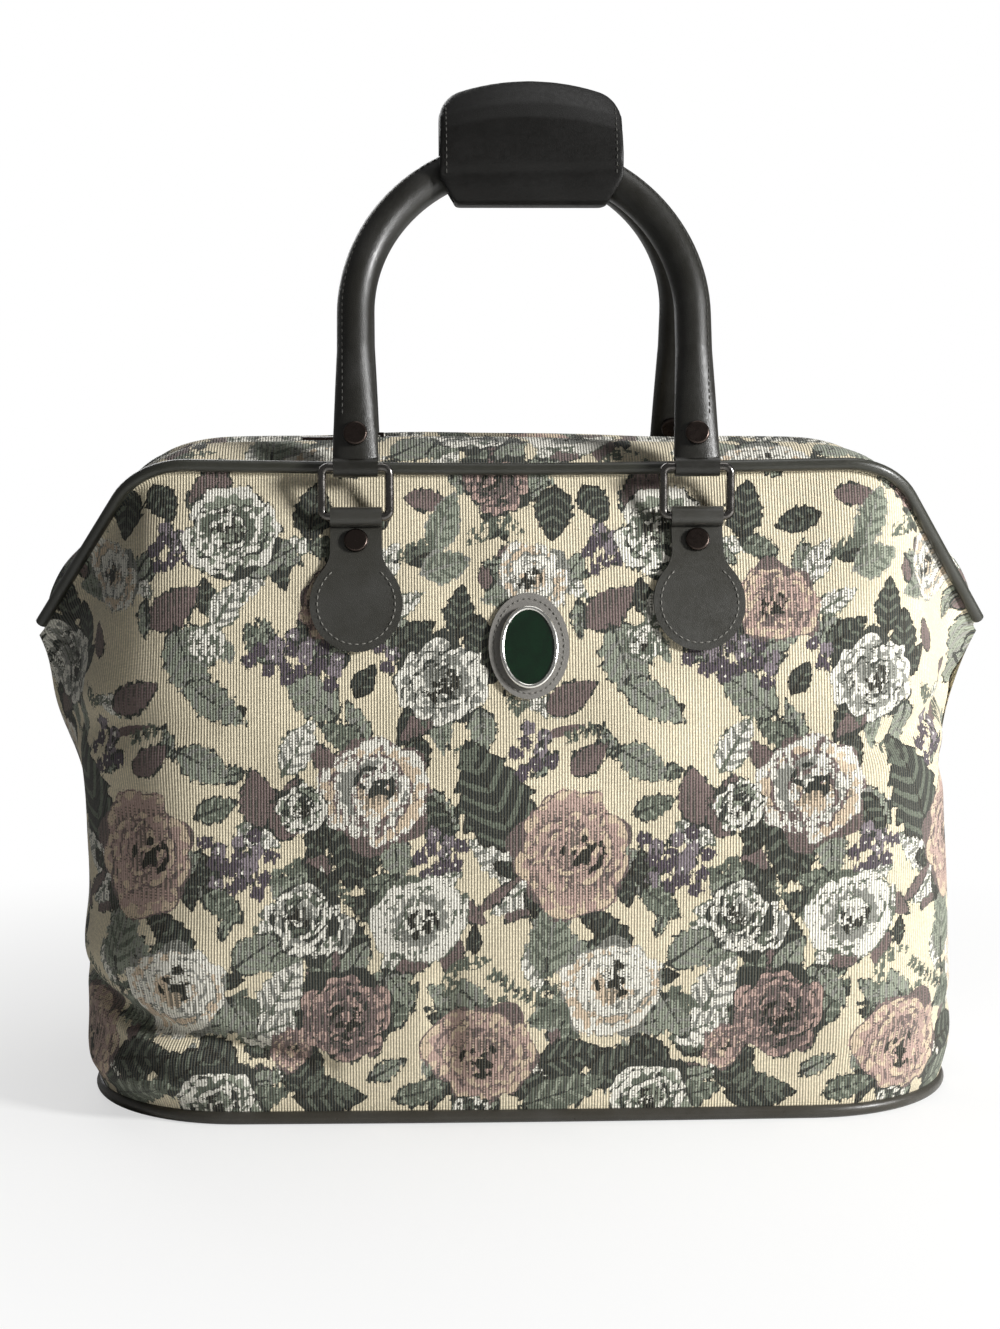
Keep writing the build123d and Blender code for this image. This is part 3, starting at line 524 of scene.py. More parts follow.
def settle(grid, name):
    """Set a grid on the outer face of a solid, which it already follows closely."""
    tree = face_tree(frame["nodes"][name].data)
    normal = facing(grid)
    out = grid.copy()
    for index in np.ndindex(grid.shape[:2]):
        start = Vector(grid[index] + normal[index] * SETTLE_START) * MM
        hit = tree.ray_cast(start, Vector(-normal[index]), SETTLE_REACH * MM)
        if hit[0] is not None:
            out[index] = np.array(hit[0]) / MM
    return out


def tuck(row, name):
    """Move an edge of the cloth just inside the piping that covers it, so that no gap shows."""
    tree = face_tree(frame["nodes"][name].data)
    for index, place in enumerate(row):
        spot, normal, _, gap = tree.find_nearest(Vector(place) * MM)
        if gap < TUCK_REACH * MM:
            row[index] = np.array(spot - normal * (TUCK * MM)) / MM


class Weave:
    """One repeat of the tapestry as a signed distance for each thread colour, painted motif by motif."""

    STEP = 0.5
    FAR_OFF = 40.0
    SHADE_SCALE = 10

    def __init__(self, width, height):
        self.columns = int(round(width / self.STEP))
        self.lines = int(height / self.STEP)
        self.fields = np.full((len(THREADS), self.lines, self.columns), -self.FAR_OFF, np.float32)
        self.fields[GROUND] = self.FAR_OFF
        self.shade = np.zeros((self.lines, self.columns), np.float32)

    def paint(self, thread, place, reach, shape, shade=0.0):
        """Lay one shape over what is there; shade is the share of dark threads in it."""
        u, v = place
        columns = np.arange(math.floor((u - reach) / self.STEP), math.ceil((u + reach) / self.STEP) + 1)
        lines = np.arange(math.floor((v - reach) / self.STEP), math.ceil((v + reach) / self.STEP) + 1)
        lines = lines[(lines >= 0) & (lines < self.lines)]
        if not len(lines):
            return
        across, up = np.meshgrid(columns * self.STEP - u, lines * self.STEP - v)
        depth = shape(across, up)
        spot = (lines[:, None], columns[None, :] % self.columns)
        block = self.fields[(slice(None),) + spot]
        own = np.maximum(block[thread], depth)
        block = np.minimum(block, -depth)
        block[thread] = own
        self.fields[(slice(None),) + spot] = block
        tone = self.shade[spot]
        value = shade(across, up) if callable(shade) else shade
        self.shade[spot] = np.where(depth > 0, value, tone)

    def read(self, u, v):
        """Fields and shade at places on the cloth, between the painted points."""
        x = np.mod(u / self.STEP, self.columns)
        y = np.clip(v / self.STEP, 0, self.lines - 1.001)
        left, low = np.floor(x).astype(int), np.floor(y).astype(int)
        right = (left + 1) % self.columns
        left %= self.columns
        fx, fy = (x - np.floor(x))[None], (y - low)[None]
        layers = np.concatenate([self.fields, self.shade[None] * self.SHADE_SCALE])
        below = layers[:, low, left] * (1 - fx) + layers[:, low, right] * fx
        above = layers[:, low + 1, left] * (1 - fx) + layers[:, low + 1, right] * fx
        return below * (1 - fy) + above * fy


def turned(x, y, angle):
    """Place seen along and across a direction."""
    c, s = math.cos(angle), math.sin(angle)
    return x * c + y * s, y * c - x * s


def oval(length, width, angle, wave=0.0, waves=5, phase=0.0):
    """Oval petal with a wavy edge."""
    def shape(x, y):
        a, b = turned(x, y, angle)
        radius = np.hypot(a / length, b / width)
        radius = radius / (1 + wave * np.cos(waves * np.arctan2(b / width, a / length) + phase))
        return (1 - radius) * min(length, width)
    return shape


def crescent(outer, inner):
    """What one shape has and another lacks."""
    return lambda x, y: np.minimum(outer(x, y), -inner(x, y))


def moved(shape, u, v):
    """Shape set down elsewhere."""
    return lambda x, y: shape(x - u, y - v)


def blade(length, width, angle, teeth):
    """Leaf outline with a point at its far end and small teeth."""
    def shape(x, y):
        a, b = turned(x, y, angle)
        share = np.clip(a / length + 0.5, 0, 1)
        half = width / 2 * np.sin(np.pi * share**0.75) ** 0.85
        half = half * (1 - 0.28 * np.abs(np.mod(share * teeth + np.sign(b) * 0.2, 1.0)))
        past = np.maximum(np.abs(a) - length / 2, 0)
        return half - np.abs(b) - past
    return shape


def stroke(start, end, width):
    """Thread line between two places, tapering to its end."""
    run = np.array(end, float) - np.array(start, float)
    size = float(run @ run)

    def shape(x, y):
        x, y = x - start[0], y - start[1]
        share = np.clip((x * run[0] + y * run[1]) / size, 0, 1)
        return width / 2 * (1 - 0.5 * share) - np.hypot(x - share * run[0], y - share * run[1])
    return shape


# Petal, shaded petal, rim, gap and heart threads of each kind of bloom, how dark its petals are, and its
# rims' share
BLOOMS = {
    "white": (GREY, GREY, IVORY, SLATE, BLACK, 0.5, 0.7),
    "ivory": (IVORY, GREY, IVORY, MOSS, BLACK, 0.3, 0.8),
    "grey": (GREY, MOSS, IVORY, SLATE, BLACK, 0.35, 0.8),
    "peach": (PEACH, GREY, IVORY, MAUVE, SLATE, 0.3, 0.7),
    "cream": (PEACH, IVORY, IVORY, GREY, BLACK, 0.3, 0.8),
    "pink": (ROSE, ROSE, PEACH, MAUVE, BLACK, 0.45, 0.5),
    "mauve": (MAUVE, MAUVE, ROSE, SLATE, BLACK, 0.5, 0.5),
    "green": (SAGE, MOSS, IVORY, SLATE, BLACK, 0.35, 0.8),
}
# Face, stripe and edge threads of each kind of leaf, and how dark its shaded half is
FOLIAGE = {
    "slate": (SLATE, MOSS, BLACK, 0.3),
    "mauve": (MAUVE, MAUVE, SLATE, 0.4),
    "fern": (SAGE, MOSS, GREY, 0.5),
    "outline": (GROUND, MOSS, MOSS, 0.0),
    "sage": (SAGE, GREY, SLATE, 0.45),
    "brown": (MAUVE, MAUVE, MAUVE, 0.2),
    "moss": (MOSS, SAGE, SLATE, 0.5),
    "pale": (IVORY, GREY, MOSS, 0.3),
}


def paint_leaf(weave, u, v, length, width, turn, kind):
    """Toothed leaf, one half shaded: a plain field of thread, or slanting stripes off a midrib."""
    face, stripe, edge, dark = FOLIAGE[kind]
    angle = math.radians(turn)
    reach = length / 2 + 3
    weave.paint(edge, (u, v), reach, blade(length + 1.5, width + 1.2, angle, 6))
    weave.paint(face, (u, v), reach, blade(length - 0.5, width - 1.2, angle, 6),
                lambda x, y: np.where(turned(x, y, angle)[1] > 0, dark, dark * 0.25))
    if stripe == face:
        return
    body = blade(length - 1, width - 2.4, angle, 6)

    def stripes(x, y):
        a, b = turned(x, y, angle)
        bands = 1.2 * np.sin(2 * np.pi * (a - 0.6 * np.abs(b) - 0.03 * b * b) / (2.5 + length / 8)) - 0.4
        return np.minimum(bands, body(x, y))
    weave.paint(stripe, (u, v), reach, stripes, 0.15)
    along = np.array((math.cos(angle), math.sin(angle)))
    weave.paint(edge, (u, v), reach, stroke(-along * length * 0.55, along * length * 0.42, 1.6), 0.2)


def paint_floret(weave, u, v, size, petal, turn):
    """Small five-petalled flower."""
    weave.paint(SLATE, (u, v), size * 2.2, oval(size * 1.5, size * 1.5, 0, 0.22, 5, turn), 0.2)
    for index in range(5):
        angle = turn + index * 2 * math.pi / 5
        spot = (u + size * math.cos(angle), v + size * math.sin(angle))
        weave.paint(petal, spot, size * 1.2, oval(size * 0.66, size * 0.56, angle), 0.1)
    weave.paint(IVORY, (u, v), size, oval(size * 0.34, size * 0.34, 0))


def paint_rose(weave, u, v, size, kind, seed):
    """Open rose seen a little from one side: broad petals with pale jagged rims round a dark curled heart."""
    petal, shaded, rim, gap, heart, dark, rim_share = BLOOMS[kind]
    rng = np.random.default_rng(seed)
    tilt = rng.uniform(0, 2 * math.pi)
    view = np.array((math.cos(tilt), math.sin(tilt)))
    weave.paint(gap, (u, v), size * 1.25, oval(size * 0.96, size * 0.88, tilt, 0.12, 5, seed), 0.4)
    whorls = ((0.58, 0.56, 6, petal), (0.36, 0.46, 5, shaded), (0.17, 0.33, 3, petal))
    for place, petal_size, count, face in whorls:
        start = rng.uniform(0, 2 * math.pi)
        for index in rng.permutation(count):
            angle = start + (index + rng.uniform(-0.3, 0.3)) * 2 * math.pi / count
            outward = np.array((math.cos(angle), math.sin(angle)))
            length = size * petal_size * rng.uniform(0.78, 1.18)
            width = length * rng.uniform(0.62, 0.86)
            spot = outward - view * (outward @ view) * 0.18 - view * 0.22 * (1 - place)
            spot = np.array((u, v)) + size * place * spot
            lean = angle + math.pi / 2 + rng.uniform(-0.45, 0.45)
            wave = (0.1, int(rng.integers(3, 8)), rng.uniform(0, 6))
            edge = oval(length, width, lean, *wave)
            weave.paint(gap, spot, length * 1.3, oval(length + 0.8, width + 0.8, lean, *wave), 0.3)

            def tone(x, y, outward=outward, width=width):
                return np.clip(dark - 0.8 * (x * outward[0] + y * outward[1]) / width, 0, 0.85)
            weave.paint(face, spot, length * 1.2, edge, tone)
            step = -outward * width * rng.uniform(0.12, 0.42) * rim_share
            thin = 1 - 0.14 * rim_share
            inner = oval(length * (0.4 + 0.6 * thin), width * thin, lean, 0.14, 11, rng.uniform(0, 6))
            inner = moved(inner, *step)
            weave.paint(rim, spot, length * 1.2, crescent(edge, inner), 0.06)
            depth = width * rng.uniform(0.36, 0.5)

            def vein(x, y, edge=edge, depth=depth, outward=outward):
                return np.minimum(0.55 - np.abs(edge(x, y) - depth), x * outward[0] + y * outward[1])
            if rng.uniform() < 0.7:
                weave.paint((gap, rim)[int(rng.integers(2))], spot, length * 1.2, vein, 0.1)
    u, v = np.array((u, v)) - view * size * 0.2
    weave.paint(heart, (u, v), size * 0.4, oval(size * 0.24, size * 0.17, tilt + 1.2, 0.25, 5, seed), 0.2)
    for index in range(3):
        outer = oval(size * (0.2 - 0.05 * index), size * (0.16 - 0.04 * index), tilt + 0.7 * index, 0.15, 3)
        inner = moved(outer, size * 0.03, -size * 0.05)
        weave.paint(rim if index % 2 == 0 else shaded, (u, v), size * 0.3, crescent(outer, inner), 0.1)
    for _ in range(4):
        angle = rng.uniform(0, 2 * math.pi)
        spot = (u + size * 0.32 * math.cos(angle), v + size * 0.32 * math.sin(angle))
        weave.paint(heart, spot, size * 0.3, oval(size * 0.13, size * 0.045, angle + 1.5, 0.2, 5), 0.1)


def paint_repeat(width):
    """Whole repeat: leaves, twigs and small flowers first, blooms over them."""
    weave = Weave(width, PATTERN_HEIGHT)
    rng = np.random.default_rng(11)
    kinds = ("slate", "moss", "slate", "sage", "mauve", "pale", "fern", "sage")
    for index in range(70):
        # Filling leaves, spread evenly by two steps that never fall into a grid
        spot = (width * (index * 0.7549 % 1), PATTERN_HEIGHT * (index * 0.5698 % 1))
        length = rng.uniform(13, 25)
        paint_leaf(weave, *spot, length, length * rng.uniform(0.45, 0.7), rng.uniform(0, 360),
                   kinds[int(rng.integers(len(kinds)))])
    for u, v, size, _ in ROSES:
        for index in range(6 if size > 15 else 3):
            angle = rng.uniform(0, 2 * math.pi)
            length = rng.uniform(0.85, 1.3) * max(size, 14)
            spot = (u + size * 1.12 * math.cos(angle), v + size * 1.12 * math.sin(angle))
            paint_leaf(weave, *spot, length, length * rng.uniform(0.5, 0.72),
                       math.degrees(angle) + rng.uniform(-50, 50), kinds[int(rng.integers(len(kinds)))])
    for leaf in LEAVES:
        paint_leaf(weave, *leaf)
    for row in SPRIGS:
        for start, end in zip(row, row[1:]):
            place = np.array(start, float)
            run = np.array(end, float) - place
            weave.paint(SLATE, place, np.linalg.norm(run) + 2, stroke((0, 0), run, 1.9), 0.2)
            for share in (0.3, 0.55, 0.8, 1.0):
                for side in (60, -60):
                    angle = math.atan2(run[1], run[0]) + math.radians(side)
                    tip = place + run * share + 2.2 * np.array((math.cos(angle), math.sin(angle)))
                    weave.paint(MOSS, tip, 6, blade(5.0, 2.4, angle, 2), 0.3)
    for u, v, spread, count in CLUSTERS:
        for index in range(count):
            radius = spread * math.sqrt((index + 0.5) / count)
            angle = index * 2.4
            paint_floret(weave, u + radius * math.cos(angle), v + radius * math.sin(angle), 2.3,
                         (PURPLE, LILAC)[index % 3 == 0], rng.uniform(0, 6))
    for index, (u, v, size, kind) in enumerate(ROSES):
        paint_rose(weave, u, v, size, kind, 20 + index)
    return weave


def new_material(name):
    """Empty node material with a shader joined to its output."""
    material = bpy.data.materials.new(name)
    material.use_nodes = True
    tree = material.node_tree
    tree.nodes.clear()
    shader = node(tree, "ShaderNodeBsdfPrincipled")
    node(tree, "ShaderNodeOutputMaterial", {"Surface": shader.outputs[0]})
    return material, tree, shader


def tapestry_material(settings):
    """Jacquard tapestry, woven in cotton: matt, ribbed, with colours that break up thread by thread."""
    material, tree, shader = new_material("woven_cotton_tapestry")
    cloth = node(tree, "ShaderNodeUVMap", uv_map="cloth").outputs[0]
    place = node(tree, "ShaderNodeSeparateXYZ", {0: cloth}).outputs
    # One thread crossing is a rib wide and a pick tall: 1.37 mm by 0.7 mm
    column = maths(tree, "MULTIPLY", place[0], 1 / settings.rib)
    line = maths(tree, "MULTIPLY", place[1], 1 / settings.pick)
    crossing = node(tree, "ShaderNodeCombineXYZ", {
        0: maths(tree, "FLOOR", maths(tree, "MULTIPLY", column, 2.0)),
        1: maths(tree, "FLOOR", line)}).outputs[0]
    chance = speckle(tree, crossing)
    # Edges of the fields climb and drop rib by rib, in steps about 5 mm tall
    steps = node(tree, "ShaderNodeCombineXYZ", {
        0: maths(tree, "FLOOR", column),
        1: maths(tree, "FLOOR", maths(tree, "MULTIPLY", line, 0.14))}).outputs[0]
    jitter = maths(tree, "ADD", span(tree, chance, 0.0, 1.0, -0.45, 0.45),
                   span(tree, speckle(tree, steps), 0.0, 1.0, -1.0, 1.0))
    fields = []
    for name in FIELD_LAYERS:
        layer = node(tree, "ShaderNodeAttribute", attribute_name=name).outputs["Vector"]
        fields += list(node(tree, "ShaderNodeSeparateXYZ", {0: layer}).outputs)
    # The thread whose field stands highest at a crossing is the one that shows
    colour = linear(settings.ground)
    best = maths(tree, "ADD", fields[GROUND], jitter)
    for index in range(GROUND + 1, len(THREADS)):
        field = maths(tree, "MULTIPLY_ADD", jitter, RAGGED[index], fields[index])
        wins = maths(tree, "GREATER_THAN", field, best)
        colour = mixed(tree, wins, colour, linear(getattr(settings, THREADS[index])))
        best = maths(tree, "MAXIMUM", field, best)
    # Hatching: more of every four crossings show the hatching thread the deeper the shade
    shade = node(tree, "ShaderNodeAttribute", attribute_name=SHADE_LAYER).outputs["Fac"]
    level = span(tree, chance, 0.0, 1.0, 0.0, 0.3)
    for source, share in ((column, 0.5), (line, 0.25)):
        odd = maths(tree, "FRACT", maths(tree, "MULTIPLY", maths(tree, "FLOOR", source), 0.5))
        level = maths(tree, "MULTIPLY_ADD", odd, 2 * share, level)
    hatched = mixed(tree, 0.75, colour, linear(settings.hatch))
    colour = mixed(tree, maths(tree, "LESS_THAN", level, shade), colour, hatched)
    # Ribs: in the furrow between two ribs the colour turns to the warp thread's darker tone, partly the warp
    # thread itself and partly painted shade in the furrow
    wave = maths(tree, "SINE", maths(tree, "MULTIPLY", column, 2 * math.pi))
    pick = maths(tree, "SINE", maths(tree, "MULTIPLY", line, 2 * math.pi))
    colour = mixed(tree, span(tree, wave, 0.35, -0.9, 0.0, 0.45), colour, linear(settings.warp))
    other = node(tree, "ShaderNodeVectorMath", {0: crossing, 1: (3.0, 41.0, 0.0)}, operation="ADD").outputs[0]
    # Slubs and handling: soft cloudy change of tone about 40 mm wide
    tone = maths(tree, "MULTIPLY", span(tree, speckle(tree, other), 0.0, 1.0, 0.84, 1.1),
                 span(tree, noise(tree, 25.0, 3.0), 0.3, 0.7, 0.9, 1.06))
    # Painted shade: the cloth darker in the furrows between the weft picks, where the relief dips
    tone = maths(tree, "MULTIPLY", tone, span(tree, pick, -1.0, 1.0, 0.88, 1.05))
    height = maths(tree, "ADD", wave, maths(tree, "MULTIPLY", pick, 0.45))
    surface(tree, shader, scaled(tree, colour, tone), height, (0.5, 0.0004), {
        "Roughness": 0.86, "Sheen Weight": 0.12, "Sheen Roughness": 0.5, "Specular IOR Level": 0.3})
    return material


def leather_material(name, code, grain, rough, worn, coat=0.0, shine=0.5):
    """Calf leather or leatherette, rolled and sealed: fine pebbles, soft gloss, paler where handled."""
    material, tree, shader = new_material(name)
    place = node(tree, "ShaderNodeTexCoord").outputs["Object"]
    # Pebbles: one cell of the pattern is one grain wide
    pebble = node(tree, "ShaderNodeTexVoronoi", {"Vector": place, "Scale": 1 / grain},
                  feature="DISTANCE_TO_EDGE").outputs[0]
    wrinkle = noise(tree, 0.35 / grain, 6.0, 0.65)
    base = linear(code)
    pale = tuple(part + (WORN_TONE - part) * worn for part in base[:3]) + (1,)
    # Worn patches about 26 mm wide
    colour = mixed(tree, span(tree, noise(tree, 38.0, 4.0, 0.6), 0.42, 0.75), base, pale)
    # Painted shade: darker in the grooves between the pebbles
    colour = scaled(tree, colour, span(tree, pebble, 0.0, 0.12, 0.8, 1.0))
    height = maths(tree, "ADD", span(tree, pebble, 0.0, 0.25), wrinkle)
    surface(tree, shader, colour, height, (0.25, grain * 0.2), {
        "Roughness": span(tree, wrinkle, 0.3, 0.7, rough - 0.07, rough + 0.1),
        "Specular IOR Level": shine, "Coat Weight": coat, "Coat Roughness": 0.2})
    return material


def metal_material(name, code, rough, tarnish):
    """Plated metal, polished then handled: bright, with dull spots and fine scratches."""
    material, tree, shader = new_material(name)
    base = linear(code)
    # Tarnish spots about 3 mm across, scratches about 0.4 mm apart
    spot = noise(tree, 330.0, 4.0)
    colour = mixed(tree, span(tree, spot, 0.45, 0.75, 0.0, tarnish), base, toned(base, 0.35))
    surface(tree, shader, colour, noise(tree, 2500.0, 2.0), (0.12, 0.00005), {
        "Roughness": span(tree, spot, 0.35, 0.75, rough, rough + 0.22), "Metallic": 1.0})
    return material


def enamel_material(code):
    """Fired enamel, poured and polished: deep colour under a hard clear gloss."""
    material, tree, shader = new_material("poured_enamel")
    base = linear(code)
    # Cloudy depth about 6 mm wide
    cloud = noise(tree, 170.0, 1.0)
    colour = mixed(tree, span(tree, cloud, 0.35, 0.7), base, toned(base, 1.4))
    surface(tree, shader, colour, cloud, (0.03, 0.0003), {"Roughness": 0.1, "Coat Weight": 0.6})
    return material


def thread_material(name, code):
    """Twisted thread or woven tape: matt, with a fine twist."""
    material, tree, shader = new_material(name)
    # Twist drawn 0.5 mm wide so that it shows
    twist = noise(tree, 2000.0, 2.0)
    colour = scaled(tree, linear(code)[:3], span(tree, twist, 0.3, 0.7, 0.7, 1.15))
    surface(tree, shader, colour, twist, (0.4, 0.0002), {"Roughness": 0.75})
    return material


def board_material():
    """Fibreboard and drawn wire inside the bag: dull grey."""
    return thread_material("grey_fibreboard", "#55524d")


def dress(name, material):
    """Give a solid its finish."""
    slots = frame["nodes"][name].data.materials
    slots.clear()
    slots.append(material)


def add_object(name, data):
    """New object in the scene."""
    made = bpy.data.objects.new(name, data)
    bpy.context.scene.collection.objects.link(made)
    return made


def add_piece(name, mesh, body):
    """New smooth piece of a mesh, riding on a body."""
    mesh.polygons.foreach_set("use_smooth", [True] * len(mesh.polygons))
    made = add_object(name, mesh)
    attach(made, body)
    return made


def baked(carrier):
    """Mesh of an object after its modifiers; the object itself goes."""
    graph = bpy.context.evaluated_depsgraph_get()
    mesh = bpy.data.meshes.new_from_object(carrier.evaluated_get(graph))
    bpy.data.objects.remove(carrier)
    return mesh


def piece(name, verts, faces, material, body):
    """New piece from points in millimetres and faces."""
    mesh = bpy.data.meshes.new(name)
    mesh.from_pydata(np.asarray(verts, float) * MM, [], faces)
    mesh.materials.append(material)
    mesh.update()
    return add_piece(name, mesh, body)


def grid_faces(lines, columns, flip):
    """Quads of a grid of points."""
    index = np.arange(lines * columns).reshape(lines, columns)
    quads = np.stack([index[:-1, :-1], index[:-1, 1:], index[1:, 1:], index[1:, :-1]], axis=2).reshape(-1, 4)
    return (quads[:, ::-1] if flip else quads).tolist()


def woven_piece(name, grid, u, v, weave, material, flip):
    """Cloth piece from a grid of points, with its thread fields and cloth coordinates."""
    lines, columns = grid.shape[:2]
    made = piece(name, grid.reshape(-1, 3), grid_faces(lines, columns, flip), material, "bag")
    mesh = made.data
    fields = weave.read(u.ravel(), v.ravel())
    for index, attribute in enumerate(FIELD_LAYERS):
        layer = mesh.attributes.new(attribute, "FLOAT_VECTOR", "POINT")
        layer.data.foreach_set("vector", fields[index * 3:index * 3 + 3].T.astype(np.float32).ravel())
    shade = mesh.attributes.new(SHADE_LAYER, "FLOAT", "POINT")
    shade.data.foreach_set("value", (fields[-1] / Weave.SHADE_SCALE).astype(np.float32))
    corner = np.empty(len(mesh.loops), np.int32)
    mesh.loops.foreach_get("vertex_index", corner)
    cloth = np.column_stack([u.ravel(), v.ravel()])[corner] * MM
    mesh.uv_layers.new(name="cloth").data.foreach_set("uv", cloth.astype(np.float32).ravel())
    return made


def stitch_tree():
    """Node tree that sets one stitch after another along the lines of a mesh."""
    tree = bpy.data.node_groups.new("stitches", "GeometryNodeTree")
    face = tree.interface
    face.new_socket("Geometry", in_out="INPUT", socket_type="NodeSocketGeometry")
    for name in STITCH_SIZES:
        face.new_socket(name, in_out="INPUT", socket_type="NodeSocketFloat")
    face.new_socket("Material", in_out="INPUT", socket_type="NodeSocketMaterial")
    face.new_socket("Geometry", in_out="OUTPUT", socket_type="NodeSocketGeometry")
    given = node(tree, "NodeGroupInput")
    curve = node(tree, "GeometryNodeMeshToCurve", {"Mesh": given.outputs["Geometry"]})
    points = node(tree, "GeometryNodeCurveToPoints", {"Curve": curve.outputs[0],
                                                      "Length": given.outputs["Pitch"]}, mode="LENGTH")
    stitch = node(tree, "GeometryNodeMeshUVSphere", {"Segments": 6, "Rings": 5, "Radius": 0.5})
    size = node(tree, "ShaderNodeCombineXYZ", {0: given.outputs["Width"], 1: given.outputs["Height"],
                                               2: given.outputs["Length"]})
    shaped = node(tree, "GeometryNodeTransform", {"Geometry": stitch.outputs[0], "Scale": size.outputs[0]})
    placed = node(tree, "GeometryNodeInstanceOnPoints", {"Points": points.outputs[0],
                                                         "Instance": shaped.outputs[0],
                                                         "Rotation": points.outputs["Rotation"]})
    real = node(tree, "GeometryNodeRealizeInstances", {0: placed.outputs[0]})
    done = node(tree, "GeometryNodeSetMaterial", {"Geometry": real.outputs[0],
                                                  "Material": given.outputs["Material"]})
    node(tree, "NodeGroupOutput", {0: done.outputs[0]})
    return tree


def sewn(name, rows, sizes, material, body):
    """Bake stitches along rows of points, as one plain mesh."""
    verts, edges = [], []
    for row in rows:
        start = len(verts)
        verts += [tuple(np.asarray(place, float) * MM) for place in row]
        edges += [(start + index, start + index + 1) for index in range(len(row) - 1)]
    lines = bpy.data.meshes.new(name + "_lines")
    lines.from_pydata(verts, edges, [])
    carrier = add_object(name + "_lines", lines)
    tree = bpy.data.node_groups.get("stitches") or stitch_tree()
    modifier = carrier.modifiers.new("stitches", "NODES")
    modifier.node_group = tree
    values = dict(zip(STITCH_SIZES, sizes))
    values["Material"] = material
    for item in tree.interface.items_tree:
        if item.in_out == "INPUT" and item.name in values:
            modifier[item.identifier] = values[item.name]
    mesh = baked(carrier)
    mesh.name = name
    if not mesh.materials:
        mesh.materials.append(material)
    return add_piece(name, mesh, body)


def surface_rows(mesh, rows, direction, lift):
    """Rows of points dropped on a mesh along a direction and lifted a little off it."""
    tree = face_tree(mesh)
    direction = Vector(direction)
    out = []
    for row in rows:
        found = []
        for place in row:
            hit = tree.ray_cast(Vector(place) * MM - direction * DROP_START, direction, DROP_REACH)
            if hit[0] is not None:
                found.append((np.array(hit[0]) + np.array(hit[1]) * (lift * MM)) / MM)
        if len(found) > 1:
            out.append(found)
    return out


def crease(u, v, start, end, width, depth):
    """Soft furrow along a line on the cloth, fading at both ends."""
    start, end = np.array(start, float), np.array(end, float)
    run = end - start
    size = run @ run
    share = ((u - start[0]) * run[0] + (v - start[1]) * run[1]) / size
    near = np.clip(share, 0, 1)
    away = np.hypot(u - start[0] - near * run[0], v - start[1] - near * run[1])
    fade = np.sin(np.pi * np.clip(share * 0.9 + 0.05, 0, 1)) ** 0.6
    return -depth * np.exp(-(away / width) ** 2) * fade


def swell(u, v, place, width, height, rise):
    """Soft swelling about a place on the cloth."""
    return rise * np.exp(-((u - place[0]) / width) ** 2 - ((v - place[1]) / height) ** 2)


def slack_cloth(u, v, side):
    """How far the slack cloth of one side stands off its even form."""
    creases, swells, phase = FOLDS[side]
    out = even_lumps(u, v, phase)
    for row in creases:
        out = out + crease(u, v, *row)
    for row in swells:
        out = out + swell(u, v, *row)
    return out


def eased(distance, reach):
    """0 at an edge, rising to 1 at the reach."""
    return np.clip(distance / reach, 0, 1)


def even_lumps(u, v, phase):
    """Low unevenness of stuffed cloth."""
    return 1.1 * np.sin(u / 31 + 2.1 * np.sin(v / 47 + phase)) * np.sin(v / 36 + phase) \
        + 0.5 * np.sin(u / 13 + v / 19 + phase)


def cloth_places(grid):
    """Cloth coordinates of a grid: across from the badge's middle line, and up from its lowest edge."""
    step = np.diff(grid, axis=1)
    run = np.cumsum(np.hypot(step[..., 0], step[..., 1]), axis=1)
    across = np.concatenate([np.zeros((len(grid), 1)), run], axis=1)
    middle = grid.shape[1] // 2
    across = across - across[:, middle:middle + 1] + grid[:, middle:middle + 1, 0] - SIDE_SHIFT
    rise = np.linalg.norm(np.diff(grid, axis=0), axis=2)
    up = np.concatenate([np.zeros((1, grid.shape[1])), np.cumsum(rise, axis=0)], axis=0)
    return across, up


def held_down(grid, u, v):
    """Share of its slack that the cloth has: none at its edges and under what is sewn on it."""
    free = eased(v, BASE_EASE) * eased(v[-1:] - v, FRAME_EASE)
    free = free * eased(np.abs(u[:, :1]).max() - np.abs(u) - SIDE_SEAM, SIDE_EASE)
    x, height = grid[..., 0] - SIDE_SHIFT, grid[..., 2]
    gaps = [np.hypot(x - middle, np.minimum(height - TAB_HOLD, 0)) for middle in (-FITTING, FITTING)]
    gaps.append(np.hypot(x / BADGE_ASPECT, height - BADGE_MIDDLE))
    for gap in gaps:
        free = free * eased(gap - HELD_RADIUS, HELD_EASE)
    return free


def side_slack(grid):
    """The left side hangs fuller below the frame's hinge than the right one."""
    near = eased(-grid[..., 0] - LEFT_START, LEFT_EASE) ** 2
    return LEFT_SLACK * near * np.exp(-((grid[..., 2] - LEFT_HEIGHT) / LEFT_SPAN) ** 2)


